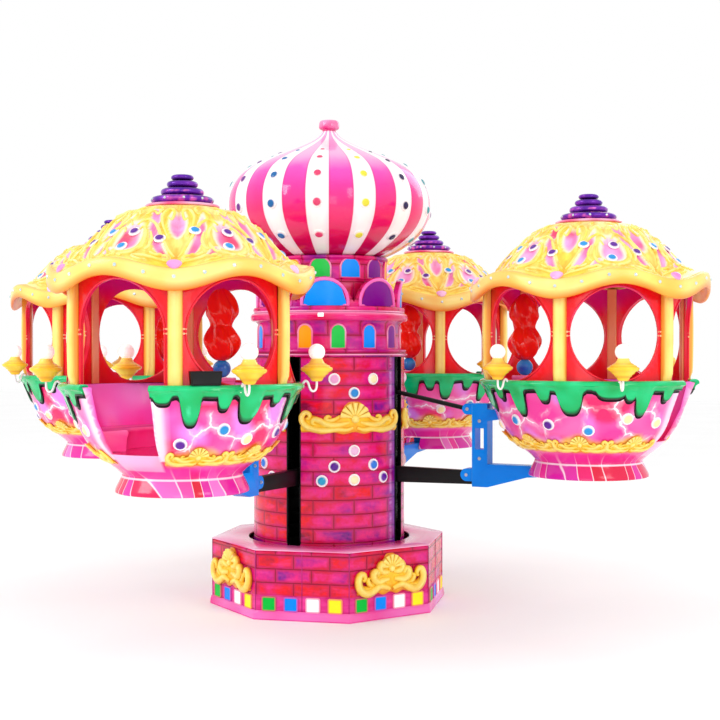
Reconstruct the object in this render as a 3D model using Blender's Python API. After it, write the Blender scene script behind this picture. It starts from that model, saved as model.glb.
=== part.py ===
"""Fairground carousel: a round castle tower on an octagonal base, with four cup-shaped cabins on arms.

Metres, +Z up. The origin is the centre of the base's underside.
Azimuth a points along (sin a, -cos a), so the arms lie on -Y, +X, +Y and -X.
"""

from math import asin, atan2, cos, degrees, radians, sin, sqrt

import bmesh
import bpy
from mathutils import Matrix, Vector

# Driving dimensions
GAP = 0.0004  # between pieces bolted face to face
ARM_COUNT = 4
CABIN_ORBIT = 2.319  # tower axis to cabin axis
TOTAL_HEIGHT = 4.200

BASE_TURN = -9.3  # azimuth of the first octagon corner, degrees
BASE_RADIUS = 1.020  # over the corners
BASE_FOOT_RADIUS = 1.040
BASE_HEIGHT = 0.560
BASE_WALL = 0.030
BASE_HOLE_RADIUS = 0.7045

TOWER_RADIUS = 0.659
TOWER_WALL = 0.025
TURNTABLE_BOTTOM = 0.430
TOWER_BOTTOM = 0.470
TOWER_TOP = 2.130
SLOT_WIDTH = 0.117

DRUM_RADIUS = 0.620
DRUM_TOP = 2.550
DRUM_ROOF = 0.050  # thickness of the drum's top
CROWN_RADIUS = 0.632
CROWN_TURN = 23.3  # azimuth of one arch's centre, degrees
CROWN_SPRING = DRUM_TOP + 0.035
CROWN_ARCH = 0.215
UPPER_DRUM_RADIUS = 0.496
UPPER_DRUM_TOP = 2.985
DOME_TOP = 4.100

MAST_HALF = 0.120
HUB_HALF = 0.220
HUB_CLEARANCE = 0.0005  # the sleeve's wear pads run on the mast
HUB_BOTTOM = 1.000
HUB_TOP = 2.000

ARM_WIDTH = 0.080
ARM_CENTRE = 1.127
ARM_ROOT_HEIGHT = 0.146
ARM_TIP_HEIGHT = 0.110
UPRIGHT_INNER = 1.355
UPRIGHT_OUTER = 1.490
UPRIGHT_TOP = 1.745
BRACKET_BOTTOM = 1.055
BRACKET_WIDTH = 0.140
NOTCH_WIDTH = 0.162  # in the cabin's foot, round the bracket
STAY_ROOT_Z = 1.915
STAY_TIP_Z = 1.684
STAY_RADIUS = 0.019

ROUND_STEPS = 24  # facets round a cabin
DOOR_HALF_ANGLE = 18.5
FOOT_BOTTOM = 1.185
FLOOR_BOTTOM = 1.445
FLOOR_TOP = 1.475
DOOR_SILL = 0.006
SEAT_TOP = 1.626
RIM_Z = 1.937
RIM_RADIUS = 0.834
SHOULDER_Z = 1.720
SHOULDER_RADIUS = 0.748
ARCADE_TOP = 2.720
ARCADE_OUTER = 0.797
ARCADE_INNER = 0.769
POST_OUTER = 0.855
POST_NECK = 0.832  # behind the icing
POST_NECK_TOP = 1.962
POST_HALF_ANGLE = 3.4
WINDOW_CENTRE = 2.302
WINDOW_HALF_HEIGHT = 0.350
WINDOW_HALF_WIDTH = 0.335
BRIM_RADIUS = 0.935
BRIM_AT_POST = 2.562
BRIM_AT_BAY = 2.668
BRIM_BAND = 0.105
ROOF_TOP = 3.190
ROOF_CREASE = 0.114  # how much deeper the roof falls over a post than over a bay
CAP_TOP = 3.430
LAMP_ANGLES = (60, 120, 240, 300)
LAMP_ORBIT = 0.955

# Colours of the moulded and painted pieces
PINK = (0.85, 0.16, 0.42)
PALE_PINK = (0.95, 0.55, 0.75)
PURPLE = (0.35, 0.05, 0.40)
RED = (0.75, 0.02, 0.05)
YELLOW = (0.95, 0.65, 0.22)
GREEN = (0.02, 0.45, 0.18)
BLUE = (0.01, 0.22, 0.65)
BLACK = (0.012, 0.012, 0.014)
STEEL = (0.25, 0.26, 0.28)
GLOSS = 0.2
SATIN = 0.45


def clear_scene():
    for obj in list(bpy.data.objects):
        bpy.data.objects.remove(obj)


def material(name, colour, roughness, metallic=0.0):
    made = bpy.data.materials.get(name)
    if made is None:
        made = bpy.data.materials.new(name)
        made.use_nodes = True
        shader = made.node_tree.nodes["Principled BSDF"]
        shader.inputs["Base Color"].default_value = (*colour, 1.0)
        shader.inputs["Roughness"].default_value = roughness
        shader.inputs["Metallic"].default_value = metallic
    return made


def polar(radius, azimuth, z):
    """A point at this radius and azimuth, in degrees, about the Z axis."""
    turn = radians(azimuth)
    return Vector((radius * sin(turn), -radius * cos(turn), z))


def azimuth_of(point):
    return degrees(atan2(point.x, -point.y))


def finish(work, name):
    """Turns a bmesh into an object with its faces pointing out."""
    bmesh.ops.remove_doubles(work, verts=work.verts, dist=1e-5)
    bmesh.ops.recalc_face_normals(work, faces=work.faces)
    mesh = bpy.data.meshes.new(name)
    work.to_mesh(mesh)
    work.free()
    obj = bpy.data.objects.new(name, mesh)
    bpy.context.scene.collection.objects.link(obj)
    return obj


def smooth(obj, angle=35):
    obj.data.shade_smooth()
    obj.data.set_sharp_from_angle(angle=radians(angle))


def lathe(name, profile, steps, start=0.0, ring=False):
    """Spins a profile of (radius, z) a full turn. A ring's profile is closed and off the axis."""
    work = bmesh.new()
    verts = [work.verts.new(polar(radius, start, z)) for radius, z in profile]
    edges = [work.edges.new(pair) for pair in zip(verts, verts[1:])]
    if ring:
        edges.append(work.edges.new((verts[-1], verts[0])))
    spin = {"cent": (0, 0, 0), "axis": (0, 0, 1), "angle": radians(360), "steps": steps}
    bmesh.ops.spin(work, geom=verts + edges, **spin)
    return finish(work, name)


def arc(name, profile, steps, start, angle):
    """Spins a closed profile of (radius, z) part of a turn, with its end faces."""
    work = bmesh.new()
    face = work.faces.new([work.verts.new(polar(radius, start, z)) for radius, z in profile])
    geometry = list(face.verts) + list(face.edges) + [face]
    spin = {"cent": (0, 0, 0), "axis": (0, 0, 1), "angle": radians(angle), "steps": steps}
    bmesh.ops.spin(work, geom=geometry, **spin)
    return finish(work, name)


def plate(name, outline, half_width):
    """Extrudes an outline of (distance along -Y, z) to both sides of X = 0."""
    work = bmesh.new()
    face = work.faces.new([work.verts.new((-half_width, -out, z)) for out, z in outline])
    moved = bmesh.ops.extrude_face_region(work, geom=[face])["geom"]
    verts = [item for item in moved if isinstance(item, bmesh.types.BMVert)]
    bmesh.ops.translate(work, verts=verts, vec=(2 * half_width, 0, 0))
    return finish(work, name)


def box(name, low, high):
    work = bmesh.new()
    size = [top - bottom for bottom, top in zip(low, high)]
    centre = [(top + bottom) / 2 for bottom, top in zip(low, high)]
    place = Matrix.Translation(centre) @ Matrix.Diagonal((*size, 1))
    bmesh.ops.create_cube(work, size=1, matrix=place)
    return finish(work, name)


def rod(name, start, end, radius, sides):
    work = bmesh.new()
    along = end - start
    turn = along.to_track_quat("Z", "Y").to_matrix().to_4x4()
    place = Matrix.Translation((start + end) / 2) @ turn
    bmesh.ops.create_cone(
        work,
        cap_ends=True,
        segments=sides,
        radius1=radius,
        radius2=radius,
        depth=along.length,
        matrix=place,
    )
    return finish(work, name)


def boolean(target, tool, operation):
    """Applies one Boolean to the target's mesh and removes the tool."""
    modifier = target.modifiers.new(operation.lower(), "BOOLEAN")
    modifier.operation = operation
    modifier.solver = "EXACT"
    modifier.object = tool
    graph = bpy.context.evaluated_depsgraph_get()
    mesh = bpy.data.meshes.new_from_object(target.evaluated_get(graph))
    target.modifiers.clear()
    target.data = mesh
    bpy.data.objects.remove(tool)


def pivot(name, parent=None, location=(0, 0, 0), turn=0.0):
    """An empty that carries pieces."""
    empty = bpy.data.objects.new(name, None)
    empty.parent = parent
    empty.location = location
    empty.rotation_euler.z = radians(turn)
    bpy.context.scene.collection.objects.link(empty)
    return empty


def hang(obj, parent, paint):
    """Gives a finished piece its material and its carrier."""
    obj.data.materials.clear()
    obj.data.materials.append(paint)
    obj.parent = parent
    return obj


def copies(model, parents):
    """The model and its copies, one on each parent, sharing one mesh."""
    name = model.name
    for number, parent in enumerate(parents, 1):
        piece = model if number == 1 else model.copy()
        piece.name = f"{name}_{number}"
        piece.parent = parent
        if number > 1:
            bpy.context.scene.collection.objects.link(piece)


def build_base():
    paint = material("moulded brick", PINK, GLOSS)
    shell = lathe(
        "base_shell",
        [
            (BASE_FOOT_RADIUS, 0.0),
            (BASE_FOOT_RADIUS, 0.020),
            (BASE_RADIUS, 0.060),
            (BASE_RADIUS, BASE_HEIGHT - 0.012),
            (BASE_RADIUS - 0.012, BASE_HEIGHT),
            (0.600, BASE_HEIGHT),
            (0.600, BASE_HEIGHT - BASE_WALL),
            (BASE_RADIUS - BASE_WALL, BASE_HEIGHT - BASE_WALL),
            (BASE_RADIUS - BASE_WALL, 0.0),
        ],
        8,
        BASE_TURN,
        ring=True,
    )
    hole = lathe("hole", [(0, 0.3), (BASE_HOLE_RADIUS, 0.3), (BASE_HOLE_RADIUS, 0.8), (0, 0.8)], 40)
    boolean(shell, hole, "DIFFERENCE")
    hang(shell, None, paint)
    edge = BASE_RADIUS - BASE_WALL - GAP
    top = TURNTABLE_BOTTOM - GAP
    profile = [(0, 0), (edge, 0), (edge, 0.020), (0.260, 0.020), (0.260, top), (0, top)]
    pedestal = lathe("base_pedestal", profile, 8, BASE_TURN)
    hang(pedestal, None, material("primed steel", STEEL, SATIN, 1.0))


def build_tower_core(tower):
    steel = material("primed steel", STEEL, SATIN, 1.0)
    flange = [(0, TURNTABLE_BOTTOM), (0.300, TURNTABLE_BOTTOM), (0.320, 0.445), (TOWER_RADIUS, 0.445)]
    flange += [(TOWER_RADIUS, TOWER_BOTTOM), (0, TOWER_BOTTOM)]
    hang(lathe("turntable", flange, 24), tower, steel)
    low = (-MAST_HALF, -MAST_HALF, TOWER_BOTTOM + GAP)
    high = (MAST_HALF, MAST_HALF, DRUM_TOP - DRUM_ROOF - GAP)
    hang(box("mast", low, high), tower, steel)


def build_tower_wall(tower):
    """Four curved walls that leave a full-height slot for each arm."""
    slot_angle = degrees(asin(SLOT_WIDTH / 2 / TOWER_RADIUS))
    inner = TOWER_RADIUS - TOWER_WALL
    low = TOWER_BOTTOM + GAP
    high = TOWER_TOP - GAP
    profile = [(inner, low), (TOWER_RADIUS, low), (TOWER_RADIUS, high), (inner, high)]
    wall = arc("tower_wall", profile, 8, slot_angle, 90 - 2 * slot_angle)
    smooth(wall)
    hang(wall, tower, material("moulded brick", PINK, GLOSS))
    quarters = [pivot(f"quarter_{step + 1}", tower, turn=90 * step) for step in range(4)]
    copies(wall, quarters)


def build_lower_drum(tower):
    drum = lathe(
        "lower_drum",
        [
            (0, DRUM_TOP),
            (0.662, DRUM_TOP),
            (0.668, DRUM_TOP - 0.045),
            (0.640, DRUM_TOP - 0.092),
            (DRUM_RADIUS, DRUM_TOP - 0.100),
            (DRUM_RADIUS, TOWER_TOP + 0.055),
            (0.676, TOWER_TOP + 0.045),
            (0.676, TOWER_TOP),
            (0.594, TOWER_TOP),
            (0.594, DRUM_TOP - DRUM_ROOF),
            (0, DRUM_TOP - DRUM_ROOF),
        ],
        24,
    )
    smooth(drum)
    hang(drum, tower, material("moulded brick", PINK, GLOSS))


def arch_height(azimuth):
    """How far the crown stands above its springing at this azimuth."""
    from_centre = (azimuth - CROWN_TURN + 22.5) % 45 - 22.5
    sideways = radians(from_centre) * CROWN_RADIUS
    return sqrt(max(CROWN_ARCH**2 - sideways**2, 0))


def build_crown(tower):
    inner = CROWN_RADIUS - 0.040
    low = DRUM_TOP + GAP
    profile = [(inner, low), (CROWN_RADIUS, low), (CROWN_RADIUS, CROWN_SPRING), (inner, CROWN_SPRING)]
    crown = lathe("crown", profile, 48, CROWN_TURN, ring=True)
    for vert in crown.data.vertices:
        if vert.co.z > low + GAP:
            vert.co.z += arch_height(azimuth_of(vert.co))
    hang(crown, tower, material("moulded pale pink", PALE_PINK, GLOSS))


def build_top(tower):
    lip = UPPER_DRUM_RADIUS + 0.020
    profile = [(0, DRUM_TOP + GAP), (UPPER_DRUM_RADIUS, DRUM_TOP + GAP)]
    profile += [(UPPER_DRUM_RADIUS, UPPER_DRUM_TOP - 0.030), (lip, UPPER_DRUM_TOP - 0.022)]
    profile += [(lip, UPPER_DRUM_TOP), (0, UPPER_DRUM_TOP)]
    drum = lathe("upper_drum", profile, 28)
    smooth(drum)
    hang(drum, tower, material("moulded brick", PINK, GLOSS))
    profile = [(0, UPPER_DRUM_TOP + GAP), (0.470, UPPER_DRUM_TOP + GAP), (0.620, 3.060)]
    profile += [(0.770, 3.170), (0.856, 3.290), (0.885, 3.413), (0.872, 3.560), (0.805, 3.705)]
    profile += [(0.700, 3.805), (0.560, 3.885), (0.370, 3.955), (0.200, 4.005), (0.105, 4.050)]
    profile += [(0.060, DOME_TOP), (0, DOME_TOP)]
    dome = lathe("dome", profile, 28)
    smooth(dome)
    hang(dome, tower, material("moulded pale pink", PALE_PINK, GLOSS))
    profile = [(0, DOME_TOP + GAP), (0.055, DOME_TOP + GAP), (0.088, 4.130), (0.088, 4.165)]
    profile += [(0.050, TOTAL_HEIGHT), (0, TOTAL_HEIGHT)]
    finial = lathe("dome_finial", profile, 14)
    smooth(finial)
    hang(finial, tower, material("moulded brick", PINK, GLOSS))


def build_carriage(lift):
    """A square sleeve that the lift raises along the mast."""
    inner = sqrt(2) * (MAST_HALF + HUB_CLEARANCE)
    outer = sqrt(2) * HUB_HALF
    profile = [(inner, HUB_BOTTOM), (outer, HUB_BOTTOM), (outer, HUB_TOP), (inner, HUB_TOP)]
    sleeve = lathe("carriage", profile, 4, 45, ring=True)
    hang(sleeve, lift, material("black enamel", BLACK, SATIN))


def build_arms(arm_pivots):
    root = HUB_HALF + GAP
    tip = UPRIGHT_INNER - GAP
    outline = [
        (root, ARM_CENTRE - ARM_ROOT_HEIGHT / 2),
        (tip, ARM_CENTRE - ARM_TIP_HEIGHT / 2),
        (tip, ARM_CENTRE + ARM_TIP_HEIGHT / 2),
        (root, ARM_CENTRE + ARM_ROOT_HEIGHT / 2),
    ]
    arm = plate("arm", outline, ARM_WIDTH / 2)
    hang(arm, None, material("black enamel", BLACK, SATIN))
    copies(arm, arm_pivots)
    lean = STAY_RADIUS * (STAY_ROOT_Z - STAY_TIP_Z) / (tip - root)  # clears a square end on a flat face
    start = Vector((0, -root - lean, STAY_ROOT_Z))
    end = Vector((0, -tip + lean, STAY_TIP_Z))
    stay = rod("stay", start, end, STAY_RADIUS, 8)
    smooth(stay)
    hang(stay, None, material("black enamel", BLACK, SATIN))
    copies(stay, arm_pivots)


def build_brackets(arm_pivots):
    """Upright, tapered cantilever under the cabin, and the seat of the cabin's floor."""
    seat_inner = CABIN_ORBIT - 0.240
    seat_outer = CABIN_ORBIT + 0.240
    outline = [
        (UPRIGHT_INNER, BRACKET_BOTTOM),
        (UPRIGHT_OUTER, BRACKET_BOTTOM),
        (1.830, 1.150),
        (seat_outer, 1.195),
        (seat_outer, FLOOR_BOTTOM - GAP),
        (seat_inner, FLOOR_BOTTOM - GAP),
        (seat_inner, 1.245),
        (UPRIGHT_OUTER, 1.245),
        (UPRIGHT_OUTER, 1.600),
        (1.6155, 1.620),
        (1.5835, 1.690),
        (UPRIGHT_OUTER, 1.700),
        (UPRIGHT_OUTER, UPRIGHT_TOP),
        (UPRIGHT_INNER, UPRIGHT_TOP),
    ]
    bracket = plate("bracket", outline, BRACKET_WIDTH / 2)
    low = (-BRACKET_WIDTH, -(UPRIGHT_OUTER - 0.032), 1.366)
    high = (BRACKET_WIDTH, -(UPRIGHT_INNER + 0.028), 1.540)
    boolean(bracket, box("window", low, high), "DIFFERENCE")
    hang(bracket, None, material("blue enamel", BLUE, GLOSS))
    copies(bracket, arm_pivots)


def build_bowls(cabin_pivots):
    """The cup: a skirted foot, a floor, and a wall with a doorway and a notch for the bracket."""
    foot = [(0.448, FOOT_BOTTOM), (0.473, FOOT_BOTTOM), (0.468, 1.215), (0.424, 1.315)]
    outside = [(0.532, 1.409), (0.669, 1.547), (SHOULDER_RADIUS, SHOULDER_Z), (RIM_RADIUS, RIM_Z)]
    inside = [(0.762, RIM_Z), (0.764, 1.900), (0.720, SHOULDER_Z), (0.641, 1.560), (0.584, FLOOR_TOP)]
    under = [(0, FLOOR_TOP), (0, FLOOR_BOTTOM), (0.500, FLOOR_BOTTOM), (0.398, 1.330)]
    closed = under[1:] + foot + outside + inside + under[:1]
    bowl = lathe("bowl", closed, ROUND_STEPS)
    low = FLOOR_TOP + DOOR_SILL
    door = [(0.480, low), (1.000, low), (1.000, 2.100), (0.480, 2.100)]
    doorway = arc("doorway", door, 3, -DOOR_HALF_ANGLE, 2 * DOOR_HALF_ANGLE)
    boolean(bowl, doorway, "DIFFERENCE")
    half = NOTCH_WIDTH / 2
    notch = box("notch", (-half, 0.300, 1.100), (half, 0.540, 1.300))
    boolean(bowl, notch, "DIFFERENCE")
    smooth(bowl)
    hang(bowl, None, material("moulded pale pink", PALE_PINK, GLOSS))
    copies(bowl, cabin_pivots)


def build_benches(cabin_pivots):
    low = FLOOR_TOP + GAP
    profile = [(0.400, low), (0.555, low), (0.660, SEAT_TOP - 0.020), (0.662, SEAT_TOP)]
    profile += [(0.385, SEAT_TOP), (0.385, SEAT_TOP - 0.035)]
    bench = arc("bench", profile, 18, 45, 270)
    smooth(bench)
    hang(bench, None, material("moulded brick", PINK, GLOSS))
    copies(bench, cabin_pivots)


def build_ornaments(cabin_pivots):
    """A turned sweet on a ball and a pot, standing on the bench."""
    profile = [(0, SEAT_TOP + GAP), (0.075, SEAT_TOP + GAP), (0.100, 1.720), (0.105, 1.960)]
    profile += [(0.050, 1.985), (0.068, 2.050), (0.050, 2.110), (0.105, 2.160), (0.145, 2.270)]
    profile += [(0.095, 2.370), (0.130, 2.460), (0.120, 2.560), (0.055, 2.645), (0, 2.650)]
    ornament = lathe("ornament", profile, 8)
    smooth(ornament)
    ornament.location = (0, 0.530, 0)
    hang(ornament, None, material("moulded red", RED, GLOSS))
    copies(ornament, cabin_pivots)


def bowl_radius(z):
    """Radius of the bowl's outside between its shoulder and its rim."""
    share = (z - SHOULDER_Z) / (RIM_Z - SHOULDER_Z)
    return SHOULDER_RADIUS + share * (RIM_RADIUS - SHOULDER_RADIUS)


def drip_depth(azimuth):
    """How far the icing runs down, with a long drip and a short one by turns."""
    if abs(abs(azimuth) - 180) < 20:
        return 0.030
    drip = 0.5 - 0.5 * cos(radians(azimuth * 12))
    longer = 0.5 + 0.5 * cos(radians(azimuth * 6 + 40))
    return drip * (0.050 + 0.080 * longer)


def add_lamp():
    """A lamp with its bent tube, outside the rim."""
    profile = [(0, 1.948), (0.030, 1.948), (0.112, 2.030), (0.112, 2.058), (0.045, 2.110)]
    profile += [(0.064, 2.165), (0, 2.230)]
    lamp = lathe("lamp", profile, 7)
    lamp.data.transform(Matrix.Translation((0, -LAMP_ORBIT, 0)))
    elbow = Vector((0, -LAMP_ORBIT, 1.885))
    boolean(lamp, rod("stem", elbow, Vector((0, -LAMP_ORBIT, 1.970)), 0.016, 6), "UNION")
    reach = elbow + Vector((0, -0.012, 0))
    boolean(lamp, rod("reach", Vector((0, -0.846, 1.885)), reach, 0.018, 6), "UNION")
    return lamp


def build_icings(cabin_pivots):
    low = 1.860
    clear = 0.0043  # lets the icing's facets pass over the bowl's corners
    high = 1.955
    profile = [
        (bowl_radius(low) + clear, low),
        (bowl_radius(low) + 0.022, low),
        (0.864, 1.895),
        (0.868, high - 0.003),
        (bowl_radius(high) + clear, high),
    ]
    icing = arc("rim_icing", profile, 28, DOOR_HALF_ANGLE, 360 - 2 * DOOR_HALF_ANGLE)
    slope = (RIM_RADIUS - SHOULDER_RADIUS) / (RIM_Z - SHOULDER_Z)
    for vert in icing.data.vertices:
        if vert.co.z < low + GAP:
            depth = drip_depth(azimuth_of(vert.co))
            outward = Vector((vert.co.x, vert.co.y, 0)).normalized()
            vert.co -= outward * depth * slope + Vector((0, 0, depth))
    for lamp_angle in LAMP_ANGLES:
        lamp = add_lamp()
        lamp.data.transform(Matrix.Rotation(radians(lamp_angle), 4, "Z"))
        boolean(icing, lamp, "UNION")
    smooth(icing)
    hang(icing, None, material("moulded green", GREEN, GLOSS))
    copies(icing, cabin_pivots)


def arcade_plan():
    """Plan of the cabin's wall: round, with a post standing out between the bays."""
    outline = []
    for bay in range(6):
        middle = 60 * bay
        for step in (-26.6, -13, 0, 13, 26.6):
            outline.append((ARCADE_OUTER, middle + step))
        outline.append((POST_OUTER, middle + 30 - POST_HALF_ANGLE * 0.8))
        outline.append((POST_OUTER, middle + 30 + POST_HALF_ANGLE * 0.8))
    return outline


def oval_cutter(half_width, half_height):
    """An oval bar through the wall on the cabin's -Y side."""
    work = bmesh.new()
    turn = Matrix.Rotation(radians(90), 4, "X")
    shape = Matrix.Diagonal((half_width, 0.4, half_height, 1))
    place = Matrix.Translation((0, -ARCADE_OUTER, WINDOW_CENTRE)) @ shape @ turn
    bmesh.ops.create_cone(
        work, cap_ends=True, segments=12, radius1=1, radius2=1, depth=1, matrix=place
    )
    return finish(work, "oval")


def build_arcades(cabin_pivots):
    """The cabin's wall: six posts, five oval openings and the doorway."""
    work = bmesh.new()
    low = RIM_Z + GAP
    outer = [work.verts.new(polar(radius, azimuth, low)) for radius, azimuth in arcade_plan()]
    face = work.faces.new(outer)
    moved = bmesh.ops.extrude_face_region(work, geom=[face])["geom"]
    verts = [item for item in moved if isinstance(item, bmesh.types.BMVert)]
    bmesh.ops.translate(work, verts=verts, vec=(0, 0, ARCADE_TOP - low))
    wall = finish(work, "arcade")
    inside = [(0, 1.5), (ARCADE_INNER, 1.5), (ARCADE_INNER, 3), (0, 3)]
    boolean(wall, lathe("inside", inside, ROUND_STEPS), "DIFFERENCE")
    collar = [(POST_NECK, 1.5), (1, 1.5), (1, POST_NECK_TOP), (POST_NECK, POST_NECK_TOP)]
    boolean(wall, lathe("collar", collar, ROUND_STEPS, ring=True), "DIFFERENCE")
    for bay in range(6):
        oval = oval_cutter(WINDOW_HALF_WIDTH, WINDOW_HALF_HEIGHT)
        if bay == 0:
            low = (-WINDOW_HALF_WIDTH, -1, 1.5)
            high = (WINDOW_HALF_WIDTH, -0.6, WINDOW_CENTRE)
            boolean(oval, box("doorway", low, high), "UNION")
        oval.data.transform(Matrix.Rotation(radians(60 * bay), 4, "Z"))
        boolean(wall, oval, "DIFFERENCE")
    smooth(wall)
    hang(wall, None, material("moulded red", RED, GLOSS))
    copies(wall, cabin_pivots)


def build_roofs(cabin_pivots):
    """A six-lobed dome whose brim hangs low at the posts and lifts over the bays."""
    brim_low = BRIM_AT_POST + 0.006
    brim = [(BRIM_RADIUS - 0.035, brim_low), (BRIM_RADIUS, BRIM_AT_POST)]
    brim += [(BRIM_RADIUS, BRIM_AT_POST + BRIM_BAND)]
    top = [(0.880, 2.745), (0.800, 2.795), (0.748, 2.811), (0.714, 2.844), (0.680, 2.883)]
    top += [(0.618, 2.945), (0.536, 3.021), (0.442, 3.100), (0.352, 3.154), (0.250, ROOF_TOP)]
    top += [(0, ROOF_TOP)]
    ceiling = [(0, 3.040), (0.350, 2.980), (0.745, 2.750)]
    ceiling += [(0.760, ARCADE_TOP + GAP), (0.870, ARCADE_TOP + GAP)]
    roof = lathe("roof", ceiling + brim + top, ROUND_STEPS)
    skin = {radius for radius, _ in top if 0 < radius < 0.875}
    for vert in roof.data.vertices:
        radius = round(Vector((vert.co.x, vert.co.y)).length, 3)
        high = 0.5 + 0.5 * cos(radians(azimuth_of(vert.co) * 6))
        if radius in skin:
            vert.co.z -= (1 - high) * ROOF_CREASE * (ROOF_TOP - vert.co.z)
        elif radius > 0.875:
            lift = BRIM_AT_BAY - BRIM_AT_POST if radius > 0.890 else 0.048
            vert.co.z += high * lift
    smooth(roof)
    hang(roof, None, material("moulded yellow", YELLOW, GLOSS))
    copies(roof, cabin_pivots)


def build_roof_caps(cabin_pivots):
    profile = [(0, ROOF_TOP + GAP), (0.244, ROOF_TOP + GAP), (0.244, 3.206), (0.220, 3.215)]
    profile += [(0.220, 3.268), (0.124, 3.276), (0.146, 3.300), (0.146, 3.330), (0.088, 3.342)]
    profile += [(0.108, 3.370), (0.090, 3.394), (0.050, CAP_TOP), (0, CAP_TOP)]
    cap = lathe("roof_cap", profile, 12)
    smooth(cap)
    hang(cap, None, material("moulded purple", PURPLE, GLOSS))
    copies(cap, cabin_pivots)


def main():
    clear_scene()
    tower = pivot("tower_axis")
    lift = pivot("lift_axis", tower)
    arm_pivots = []
    cabin_pivots = []
    for number in range(ARM_COUNT):
        arm_pivots.append(pivot(f"arm_axis_{number + 1}", lift, turn=360 / ARM_COUNT * number))
        seat = pivot(f"cabin_axis_{number + 1}", arm_pivots[-1], (0, -CABIN_ORBIT, 0))
        cabin_pivots.append(seat)
    build_base()
    build_tower_core(tower)
    build_tower_wall(tower)
    build_lower_drum(tower)
    build_crown(tower)
    build_top(tower)
    build_carriage(lift)
    build_arms(arm_pivots)
    build_brackets(arm_pivots)
    build_bowls(cabin_pivots)
    build_benches(cabin_pivots)
    build_ornaments(cabin_pivots)
    build_icings(cabin_pivots)
    build_arcades(cabin_pivots)
    build_roofs(cabin_pivots)
    build_roof_caps(cabin_pivots)


main()
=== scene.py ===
from math import asin, atan2, cos, degrees, exp, hypot, pi, radians, sin, sqrt

import bpy
from mathutils import Matrix, Vector, noise


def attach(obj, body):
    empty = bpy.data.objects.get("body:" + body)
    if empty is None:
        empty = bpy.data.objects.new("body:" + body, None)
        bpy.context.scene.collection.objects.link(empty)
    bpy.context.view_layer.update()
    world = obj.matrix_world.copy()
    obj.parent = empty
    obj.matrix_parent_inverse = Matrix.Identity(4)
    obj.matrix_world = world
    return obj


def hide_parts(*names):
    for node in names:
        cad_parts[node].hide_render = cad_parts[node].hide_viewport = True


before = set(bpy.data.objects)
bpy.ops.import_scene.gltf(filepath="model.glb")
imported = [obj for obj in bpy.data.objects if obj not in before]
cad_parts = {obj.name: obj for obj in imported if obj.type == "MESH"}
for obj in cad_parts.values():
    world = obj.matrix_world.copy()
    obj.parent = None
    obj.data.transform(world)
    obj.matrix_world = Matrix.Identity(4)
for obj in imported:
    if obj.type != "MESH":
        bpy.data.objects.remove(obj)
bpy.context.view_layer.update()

print("carousel: frame loaded")


# Colours and nodes

knownCodes = {}


def linear(code):
    # an sRGB hex value as linear red, green, blue and alpha
    if code not in knownCodes:
        parts = [int(code[i:i + 2], 16) / 255 for i in (1, 3, 5)]
        knownCodes[code] = tuple(p / 12.92 if p <= 0.04045 else ((p + 0.055) / 1.055) ** 2.4 for p in parts) + (1.0,)
    return knownCodes[code]


def mixed(first, second, share):
    # two colours, as hex values or as numbers, mixed by a share
    share = min(max(share, 0.0), 1.0)
    first, second = (linear(c) if isinstance(c, str) else c for c in (first, second))
    return tuple(a + (b - a) * share for a, b in zip(first, second))


def cloud(point, scale, middle=0.5, shift=(0, 0, 0)):
    # a soft share that drifts from place to place
    return middle + noise.noise(point * scale + Vector(shift))


def addNode(tree, kind, inputs=None, out=0, **settings):
    # one node with its settings, values and links: gives one output, or all where out is None
    node = tree.nodes.new("ShaderNode" + kind)
    for key, value in settings.items():
        setattr(node, key, value)
    for key, value in (inputs or {}).items():
        if isinstance(value, bpy.types.NodeSocket):
            tree.links.new(value, node.inputs[key])
        else:
            node.inputs[key].default_value = value
    return node.outputs if out is None else node.outputs[out]


def maths(tree, operation, *values):
    return addNode(tree, "Math", dict(enumerate(values)), operation=operation)


def ranged(tree, value, low, high, first=0.0, last=1.0):
    return addNode(tree, "MapRange", {0: value, 1: low, 2: high, 3: first, 4: last})


def blended(tree, share, first, second):
    pair = [linear(c) if isinstance(c, str) else c for c in (first, second)]
    return addNode(tree, "Mix", {0: share, 6: pair[0], 7: pair[1]}, 2, data_type="RGBA")


def speckle(tree, place, scale, detail=2.0, roughness=0.5, out=0, **settings):
    values = {"Vector": place, "Scale": scale, "Detail": detail, "Roughness": roughness}
    return addNode(tree, "TexNoise", values, out, **settings)


def ramp(tree, share, stops):
    tone = addNode(tree, "ValToRGB", {"Fac": share})
    elements = tone.node.color_ramp.elements
    while len(elements) < len(stops):
        elements.new(1.0)
    for element, (place, code) in zip(elements, stops):
        element.position = place
        element.color = linear(code)
    return tone


def newFinish(name, values):
    # a material whose constant values stand on the shader's own sockets, and its place on the object
    finish = bpy.data.materials.new(name)
    finish.use_nodes = True
    tree = finish.node_tree
    shader = tree.nodes["Principled BSDF"]
    for key, value in values.items():
        shader.inputs[key].default_value = value
    return finish, tree, shader, addNode(tree, "TexCoord", out="Object")


def surfaced(tree, shader, tone, height, distance, strength):
    # the colour and the bump
    tree.links.new(tone, shader.inputs["Base Color"])
    bump = addNode(tree, "Bump", {"Height": height, "Distance": distance, "Strength": strength})
    tree.links.new(bump, shader.inputs["Normal"])


# Shaping

def alone(piece):
    bpy.ops.object.select_all(action="DESELECT")
    piece.select_set(True)
    bpy.context.view_layer.objects.active = piece


def turnZ(azimuth):
    return Matrix.Rotation(radians(azimuth), 4, "Z")


def polar(radius, azimuth, z):
    turn = radians(azimuth)
    return Vector((radius * sin(turn), -radius * cos(turn), z))


def azimuthOf(point):
    return degrees(atan2(point[0], -point[1]))


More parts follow.
